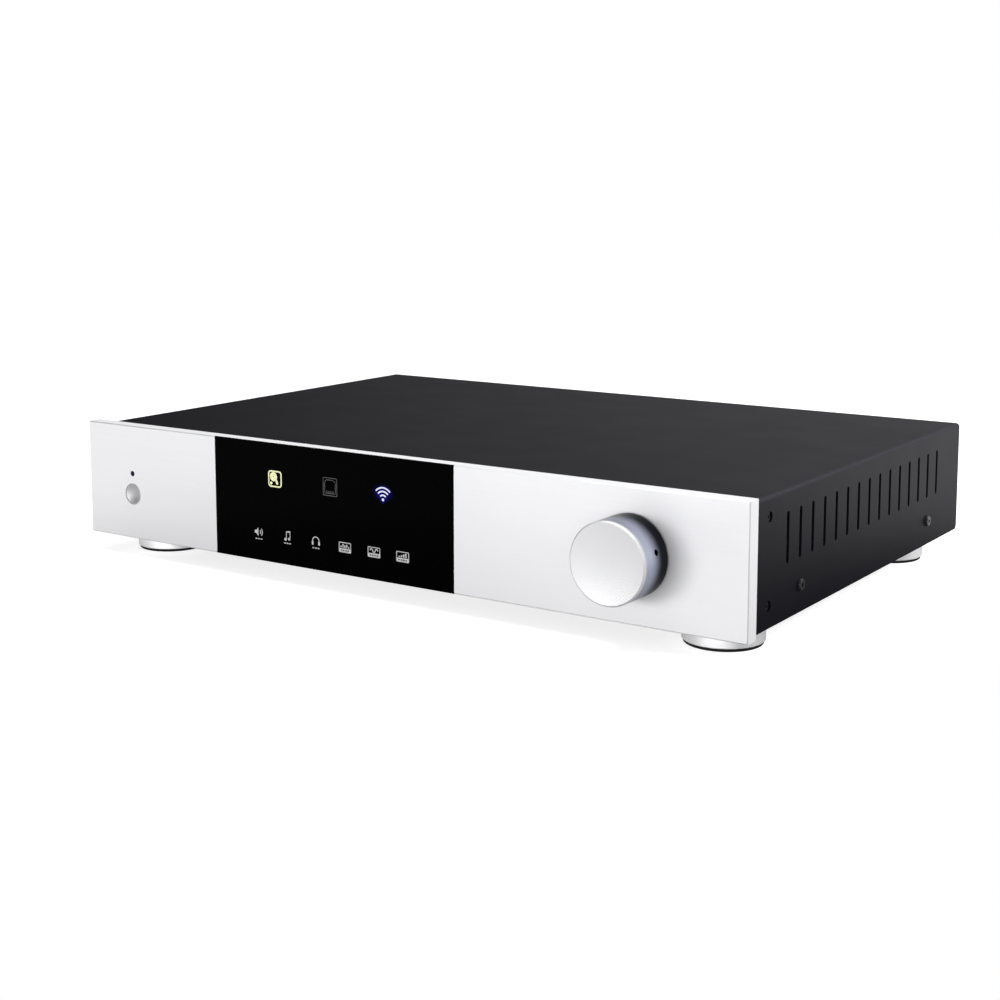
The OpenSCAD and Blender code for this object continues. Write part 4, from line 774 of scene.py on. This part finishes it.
tree.links.new(haze.outputs[0], shader.inputs["Emission Strength"])
print("haze round the wireless sign")

# %% [markdown]
# ## The lower signs
# Six small signs stand for kinds of sound: a loudspeaker, a note and headphones, each over a short
# line, and three boxes with bars, a wave and steps. They are dimmer and grey. The boxes share one
# function, because only the drawing in their upper half differs.

# %% Loudspeaker, note and headphones
LOWER_ROW = 14.9
grey = shining("grey_lamp", (0.36, 0.36, 0.37), (0.56, 0.56, 0.57))


def add_lower_sign(name, bm, x):
    for dash in (-1, 0, 1):
        bar(bm, 1.8 * dash, -2.9, 1.3, 0.6, 0.15)
    add_sign(name, bm, x, LOWER_ROW, grey)


speaker = bmesh.new()
plate(speaker, [(-3.0, 0.2), (-1.9, 0.2), (-0.3, -1.4), (-0.3, 3.4), (-1.9, 1.8), (-3.0, 1.8)])
for radius in (1.5, 2.8):
    band(speaker, -0.2, 1.0, radius, 0.55, math.radians(-42), math.radians(84), steps=10)
add_lower_sign("sign_speaker", speaker, -81.5)

note = bmesh.new()
for x, y in ((-1.35, -0.75), (1.25, -0.35)):
    dot(note, x, y, 0.85)
    bar(note, x + 0.62, y + 2.2, 0.45, 2.9)
plate(note, [(-0.96, 2.9), (2.1, 3.3), (2.1, 4.1), (-0.96, 3.7)])
add_lower_sign("sign_note", note, -60.7)

headphones = bmesh.new()
band(headphones, 0, 0.9, 2.3, 0.55, 0, math.pi, steps=16)
for side in (-1, 1):
    bar(headphones, 2.25 * side, -0.25, 1.15, 2.1, 0.4)
add_lower_sign("sign_headphones", headphones, -40.5)

# %% Boxes with bars, a wave and steps
BOX_SIZE = (8.3, 5.6)
BOX_FOOT = 2.2
BOX_LINE = 0.45
dark_print = grained("dark_print", (0.002, 0.002, 0.002), (0.004, 0.004, 0.004), (0.3, 0.4), 0.5,
                     depth=0.001)


def add_box_sign(name, bm, x):
    width, height = BOX_SIZE
    rim(bm, 0, 0, width, height, 0.7, BOX_LINE)
    foot = (BOX_FOOT - height) / 2
    bar(bm, 0, foot + BOX_LINE / 2, width - 2 * BOX_LINE, BOX_FOOT - BOX_LINE)
    add_sign(name, bm, x, LOWER_ROW, grey)
    marks = bmesh.new()
    for dash in range(4):
        bar(marks, 1.55 * (dash - 1.5), foot, 1.1, 0.6, 0.15)
    add_sign(name + "_marks", marks, x, LOWER_ROW, dark_print, lift=SIGN_THICK)


bars = bmesh.new()
for column, tall in enumerate((1.0, 2.0, 1.5, 1.9, 0.8)):
    bar(bars, 1.3 * (column - 2), -0.2 + tall / 2, 0.75, tall, 0.15)
add_box_sign("sign_bars", bars, -20.35)

wave = bmesh.new()
for half, way in enumerate((1, -1, 1)):
    band(wave, 1.7 * (half - 1), 0.85, 0.85, 0.55, 0, way * math.pi, steps=10)
add_box_sign("sign_wave", wave, -0.75)

stairs = bmesh.new()
for stair in range(4):
    tall = 0.52 * (stair + 1)
    bar(stairs, 1.4 * (stair - 1.5), -0.2 + tall / 2, 1.0, tall, 0.12)
add_box_sign("sign_steps", stairs, 18.2)

# %% [markdown]
# ## Inside the sockets
# A socket's shell is nothing without its contacts. The network socket has eight sprung wires and
# two small lamps, each data socket four strips under its tongue, and the optical socket a flap
# that keeps dust out. They are small blocks with bevelled edges. A cube could stay sharp, but the
# bevel catches a line of light, and without it metal looks like paper.

# %% Helpers: a bevelled block, a piece in millimetres
def block(bm, middle, size, round_by, tilt=0.0):
    place = Matrix.Translation(middle) @ Matrix.Rotation(tilt, 4, "X") @ Matrix.Diagonal((*size, 1))
    made = bmesh.ops.create_cube(bm, size=1.0, matrix=place)["verts"]
    edges = list(dict.fromkeys(edge for vert in made for edge in vert.link_edges))
    bmesh.ops.bevel(bm, geom=edges, offset=round_by, affect="EDGES", segments=2, profile=0.5,
                    material=-1)


def add_block_piece(name, bm, material, replaces=()):
    bmesh.ops.scale(bm, vec=(MM, MM, MM), verts=bm.verts[:])
    add_piece(name, bm, material, replaces=replaces)


# %% Helper: the finish of a CAD piece
def finish_of(name):
    return nodes[name].material_slots[0].material


# %% Contacts and lamps of the network socket
PINS, PIN_STEP, PIN_SIZE, PIN_TILT = 8, 1.02, (0.42, 9.0, 0.28), math.radians(-16)
PIN_BACK, PIN_RISE = 6.0, 4.0
LAMP_SIZE, LAMP_SIDE, LAMP_DROP = (2.8, 0.5, 1.3), 5.4, 1.7

jack_low, jack_high = (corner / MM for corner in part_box("ethernet_jack"))
jack_x = (jack_low.x + jack_high.x) / 2
gold = finish_of("antenna_socket")

contacts = bmesh.new()
for pin in range(PINS):
    x = jack_x + PIN_STEP * (pin - (PINS - 1) / 2)
    block(contacts, (x, jack_high.y - PIN_BACK, jack_low.z + PIN_RISE), PIN_SIZE, 0.08, PIN_TILT)
add_block_piece("jack_contacts", contacts, gold)

lamps = bmesh.new()
for side in (-1, 1):
    x = jack_x + LAMP_SIDE * side
    block(lamps, (x, jack_high.y, jack_high.z - LAMP_DROP), LAMP_SIZE, 0.12)
add_block_piece("jack_lamps", lamps, finish_of("indicator_lamps"))

# %% Contacts of the data sockets
TONGUE_HALF = 5.5
STRIP_PLACES, STRIP_SIZE = (-3.5, -1.0, 1.0, 3.5), (1.0, 7.0, 0.2)
STRIP_BACK, STRIP_DROP = 4.0, 0.05

tongue_low, tongue_high = (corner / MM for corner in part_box("usb_tongues"))
strips = bmesh.new()
for middle in (tongue_low.x + TONGUE_HALF, tongue_high.x - TONGUE_HALF):
    for across in STRIP_PLACES:
        block(strips, (middle + across, tongue_high.y - STRIP_BACK, tongue_low.z - STRIP_DROP),
              STRIP_SIZE, 0.06)
add_block_piece("data_contacts", strips, gold)

# %% Flap of the optical socket
FLAP_SIZE, FLAP_BACK = (7.2, 0.8, 7.4), 1.2
RIDGE_SIZE, RIDGE_BACK = (4.6, 0.5, 4.6), 0.7

optical_low, optical_high = (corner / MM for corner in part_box("optical_socket"))
optical_x = (optical_low.x + optical_high.x) / 2
optical_z = (optical_low.z + optical_high.z) / 2
flap = bmesh.new()
for size, back in ((FLAP_SIZE, FLAP_BACK), (RIDGE_SIZE, RIDGE_BACK)):
    block(flap, (optical_x, optical_high.y - back, optical_z), size, 0.2)
add_block_piece("optical_flap", flap, finish_of("optical_socket"))

# %% [markdown]
# ## Marks on the mains switch
# The rocker carries a bar for on and a ring for off, printed white. They sit on its two sloping
# halves, so they are drawn flat like the signs and then tipped twice: by the slope of the half,
# and by the angle at which the rocker rests, which is half of its joint's range. They ride on the
# rocker, and tip with it.

# %% On and off
HALF_PLACE, HALF_RISE, HALF_SLOPE = 4.6, 3.91, math.atan2(1.2, 7.8)

tip_joint = next(joint for joint in frame["joints"] if joint["name"] == "mains_tip")
rocker_pivot = Vector(tip_joint["pos_m"])
rocker_tip = math.radians(tip_joint["range_deg"][1] / 2)
white_print = grained("white_print", (0.60, 0.60, 0.59), (0.70, 0.70, 0.69), (0.4, 0.5), 0.3,
                      depth=0.001)


def add_rocker_mark(name, bm, side):
    thicken(bm, SIGN_THICK)
    facing = Matrix.Rotation(-math.pi / 2, 4, "X")
    slope = Matrix.Rotation(-side * HALF_SLOPE, 4, "X")
    half = Matrix.Translation((0, HALF_RISE, side * HALF_PLACE)) @ slope
    tipped = Matrix.Translation(rocker_pivot) @ Matrix.Rotation(rocker_tip, 4, "X")
    on_rocker = tipped @ Matrix.Scale(MM, 4) @ half @ facing
    bmesh.ops.transform(bm, matrix=on_rocker, verts=bm.verts[:])
    add_piece(name, bm, white_print, body="mains_rocker")


on_mark = bmesh.new()
bar(on_mark, 0, 0, 0.7, 3.6, 0.15)
add_rocker_mark("mark_on", on_mark, 1)
off_mark = bmesh.new()
band(off_mark, 0, 0, 1.5, 0.6)
add_rocker_mark("mark_off", off_mark, -1)

# %% [markdown]
# ## A tool for leads
# A lead runs straight and turns square corners in a round bend. A curve with a bevel would do it,
# but here the ring of a circle is extruded along each straight and spun a quarter turn round each
# corner, so that the bends are true arcs of one radius and the mesh is closed at both ends.

# %% Helper: run a lead through its corners
def run_lead(bm, corners, thick, bend, side=(0.3, 0.5, 0.8), flat=1.0, sides=12):
    corners = [Vector(corner) for corner in corners]
    ways = [(end - start).normalized() for start, end in zip(corners, corners[1:])]
    across = ways[0].cross(Vector(side)).normalized()
    upright = ways[0].cross(across)
    turn = Matrix((across * flat, upright, ways[0])).transposed().to_4x4()
    ring = bmesh.ops.create_circle(bm, cap_ends=True, radius=thick / 2, segments=sides,
                                   matrix=Matrix.Translation(corners[0]) @ turn)["verts"]
    ring = list(dict.fromkeys(edge for vert in ring for edge in vert.link_edges))
    for i, way in enumerate(ways):
        last = i == len(ways) - 1
        length = (corners[i + 1] - corners[i]).length - bend * ((i > 0) + (not last))
        grown = bmesh.ops.extrude_edge_only(bm, edges=ring)["geom"]
        verts = [item for item in grown if isinstance(item, bmesh.types.BMVert)]
        ring = [item for item in grown if isinstance(item, bmesh.types.BMEdge)]
        ring = [edge for edge in ring if all(vert in verts for vert in edge.verts)]
        bmesh.ops.translate(bm, verts=verts, vec=way * length)
        if not last:
            centre = corners[i + 1] + bend * (ways[i + 1] - way)
            spun = bmesh.ops.spin(bm, geom=verts + ring, cent=centre, axis=way.cross(ways[i + 1]),
                                  angle=math.pi / 2, steps=6)
            ring = [item for item in spun["geom_last"] if isinstance(item, bmesh.types.BMEdge)]
    bmesh.ops.contextual_create(bm, geom=ring)


# %% [markdown]
# ## The ribbon
# The flat cable from the front board to the main board is twenty thin wires side by side, joined
# by a skin. Each is a lead of its own, pressed flat until it is as wide as the step between them, so
# that they touch, and each end goes into a black plug with a clamp over it.

# %% Ribbon and its plugs
RIBBON_X, RIBBON_STEP, RIBBON_WIRES = -31.15, 1.3, 20
RIBBON_CORNERS = [(-116.0, 44.75), (-112.1, 44.75), (-112.1, 33.7), (47.6, 33.7), (47.6, 29.0)]
RIBBON_BEND, RIBBON_THICK = 3.7, 1.0
PLUG_BLOCKS = [
    ((-119.8, 44.75), (30.0, 4.0, 5.0)),
    ((-116.9, 44.75), (28.4, 1.8, 4.0)),
    ((47.6, 26.0), (30.0, 5.0, 4.0)),
    ((47.6, 28.9), (28.4, 4.0, 1.8)),
]

ribbon = bmesh.new()
for wire in range(RIBBON_WIRES):
    x = RIBBON_X + RIBBON_STEP * (wire - (RIBBON_WIRES - 1) / 2)
    corners = [(x, y, z) for y, z in RIBBON_CORNERS]
    run_lead(ribbon, corners, RIBBON_THICK, RIBBON_BEND, side=(0, 0, 1),
             flat=RIBBON_STEP / RIBBON_THICK, sides=10)
bmesh.ops.recalc_face_normals(ribbon, faces=ribbon.faces[:])
add_block_piece("ribbon_wires", ribbon, grained(
    "grey_ribbon", (0.20, 0.20, 0.21), (0.30, 0.30, 0.31), (0.45, 0.55), 1.5, stretch=(1, 20, 20),
    depth=0.004), replaces=["ribbon_cable"])

plugs = bmesh.new()
for (y, z), size in PLUG_BLOCKS:
    block(plugs, (RIBBON_X, y, z), size, 0.4)
add_block_piece("ribbon_plugs", plugs, finish_of("rocker_frame"),
                replaces=["ribbon_cable"])

# %% [markdown]
# ## Leads
# Mains comes in brown and blue, and the safety earth in green and yellow. Red leads go from the
# transformer to its board, black ones from board to board, and a thinner black one to the aerial.
# Their corners are those of the CAD leads. Each kind is one piece, in a soft plastic with a faint
# skin.

# %% Where the leads run
LEAD_THICK, LEAD_BEND, AERIAL_THICK = 2.4, 4.0, 1.4
LEADS = {
    "lead_brown": [
        [(165, 123.1, 38.2), (165, 102.1, 38.2), (104, 102.1, 38.2), (104, 125.1, 38.2)],
        [(104, 125.1, 45.2), (104, 75.6, 45.2), (104, 75.6, 32.0)],
    ],
    "lead_blue": [
        [(151, 123.1, 38.2), (151, 110.1, 38.2), (112, 110.1, 38.2), (112, 125.1, 38.2)],
        [(112, 125.1, 45.2), (112, 75.6, 45.2), (112, 75.6, 32.0)],
    ],
    "lead_earth": [
        [(158, 123.1, 42.2), (158, 98.1, 42.2), (158, 98.1, 14.6)],
    ],
    "lead_red": [
        [(x, y, 38.0), (x, 13.6, 38.0), (x, 13.6, 32.0)]
        for x, y in ((125.2, -1.35), (128.4, -1.2), (131.6, -1.2), (134.8, -1.35))
    ],
    "lead_black": [
        [(34, y, 32.0), (34, y, 44.0), (84, y, 44.0), (84, y, 32.0)] for y in (58.9, 62.1, 65.3)
    ],
    "lead_aerial": [
        [(-190, 140.6, 36.0), (-190, 125.6, 36.0), (-168, 125.6, 36.0), (-168, 125.6, 26.0)],
    ],
}


# %% Helpers: plain and striped sleeves
def sleeve(name, dark, light):
    return grained(name, dark, light, (0.34, 0.46), 0.9, depth=0.004)


def striped(name, first, second, pitch):
    material, tree, shader, place = start_finish(name, {})
    slanted = add_node(tree, "Mapping", {"Vector": place, "Rotation": (0.6, 0.7, 0.0)})
    scale = 1 / (pitch * MM * math.tau)
    wave = add_node(tree, "TexWave", {"Vector": slanted.outputs[0], "Scale": scale, "Distortion": 0.4})
    tint(tree, shader, wave.outputs["Fac"], first, second, low=SHARP_LOW, high=SHARP_HIGH)
    roughen(tree, shader, noise(tree, place, CLOUD_MM), (0.34, 0.46))
    return material


# %% Leads, one piece to a kind
SLEEVES = {
    "lead_brown": sleeve("brown_sleeve", (0.075, 0.030, 0.012), (0.100, 0.042, 0.018)),
    "lead_blue": sleeve("blue_sleeve", (0.015, 0.080, 0.300), (0.022, 0.105, 0.370)),
    "lead_earth": striped("earth_sleeve", (0.010, 0.180, 0.030), (0.620, 0.480, 0.010), 2.0),
    "lead_red": sleeve("red_sleeve", (0.330, 0.014, 0.012), (0.420, 0.022, 0.018)),
    "lead_black": sleeve("black_sleeve", (0.018, 0.018, 0.020), (0.034, 0.034, 0.037)),
    "lead_aerial": sleeve("aerial_sleeve", (0.012, 0.012, 0.013), (0.022, 0.022, 0.024)),
}
for name, routes in LEADS.items():
    thick = AERIAL_THICK if name == "lead_aerial" else LEAD_THICK
    lead = bmesh.new()
    for corners in routes:
        run_lead(lead, corners, thick, LEAD_BEND)
    bmesh.ops.recalc_face_normals(lead, faces=lead.faces[:])
    add_block_piece(name, lead, SLEEVES[name], replaces=["wire_leads"])

# %% [markdown]
# ## The ends of the leads
# Push-on sleeves hold the leads on the switch, white housings stand on the boards, the earth ends
# in a ring under a screw, and the aerial lead in a small round plug.

# %% Sleeves and housings
SLEEVE_Y, SLEEVE_SIZE = 129.1, (3.4, 8.0, 5.0)
HOUSING_Z, HOUSING_HIGH = 27.0, 6.0
HOUSING_TOP_Z, HOUSING_TOP_HIGH, HOUSING_STEP = 31.0, 2.0, 1.6
HOUSINGS = [
    (108, 75.6, 14.4, 7.0),
    (130, 13.6, 16.0, 7.0),
    (34, 62.1, 7.0, 12.8),
    (84, 62.1, 7.0, 12.8),
]

ends = bmesh.new()
for x, z in ((104, 38.2), (112, 38.2), (104, 45.2), (112, 45.2)):
    block(ends, (x, SLEEVE_Y, z), SLEEVE_SIZE, 0.6)
add_block_piece("lead_sleeves", ends, SLEEVES["lead_black"], replaces=["wire_leads"])

housings = bmesh.new()
for x, y, wide, deep in HOUSINGS:
    block(housings, (x, y, HOUSING_Z), (wide, deep, HOUSING_HIGH), 0.3)
    top = (wide - HOUSING_STEP, deep - HOUSING_STEP, HOUSING_TOP_HIGH)
    block(housings, (x, y, HOUSING_TOP_Z), top, 0.3)
add_block_piece("lead_housings", housings, finish_of("phono_cores"),
                replaces=["wire_leads"])

# %% Earth ring and aerial plug
EARTH_RING, EARTH_THICK = (158, 98.1, 13.4), 1.2
AERIAL_PLUG = (-168, 125.6, 25.0)

tips = bmesh.new()
band(tips, 0, 0, 3.1, 1.8)
thicken(tips, EARTH_THICK)
bmesh.ops.translate(tips, verts=tips.verts[:], vec=EARTH_RING)
bmesh.ops.create_cone(tips, cap_ends=True, segments=24, radius1=2.0, radius2=1.7, depth=2.0,
                      matrix=Matrix.Translation(AERIAL_PLUG))
add_block_piece("lead_tips", tips, gold, replaces=["wire_leads"])
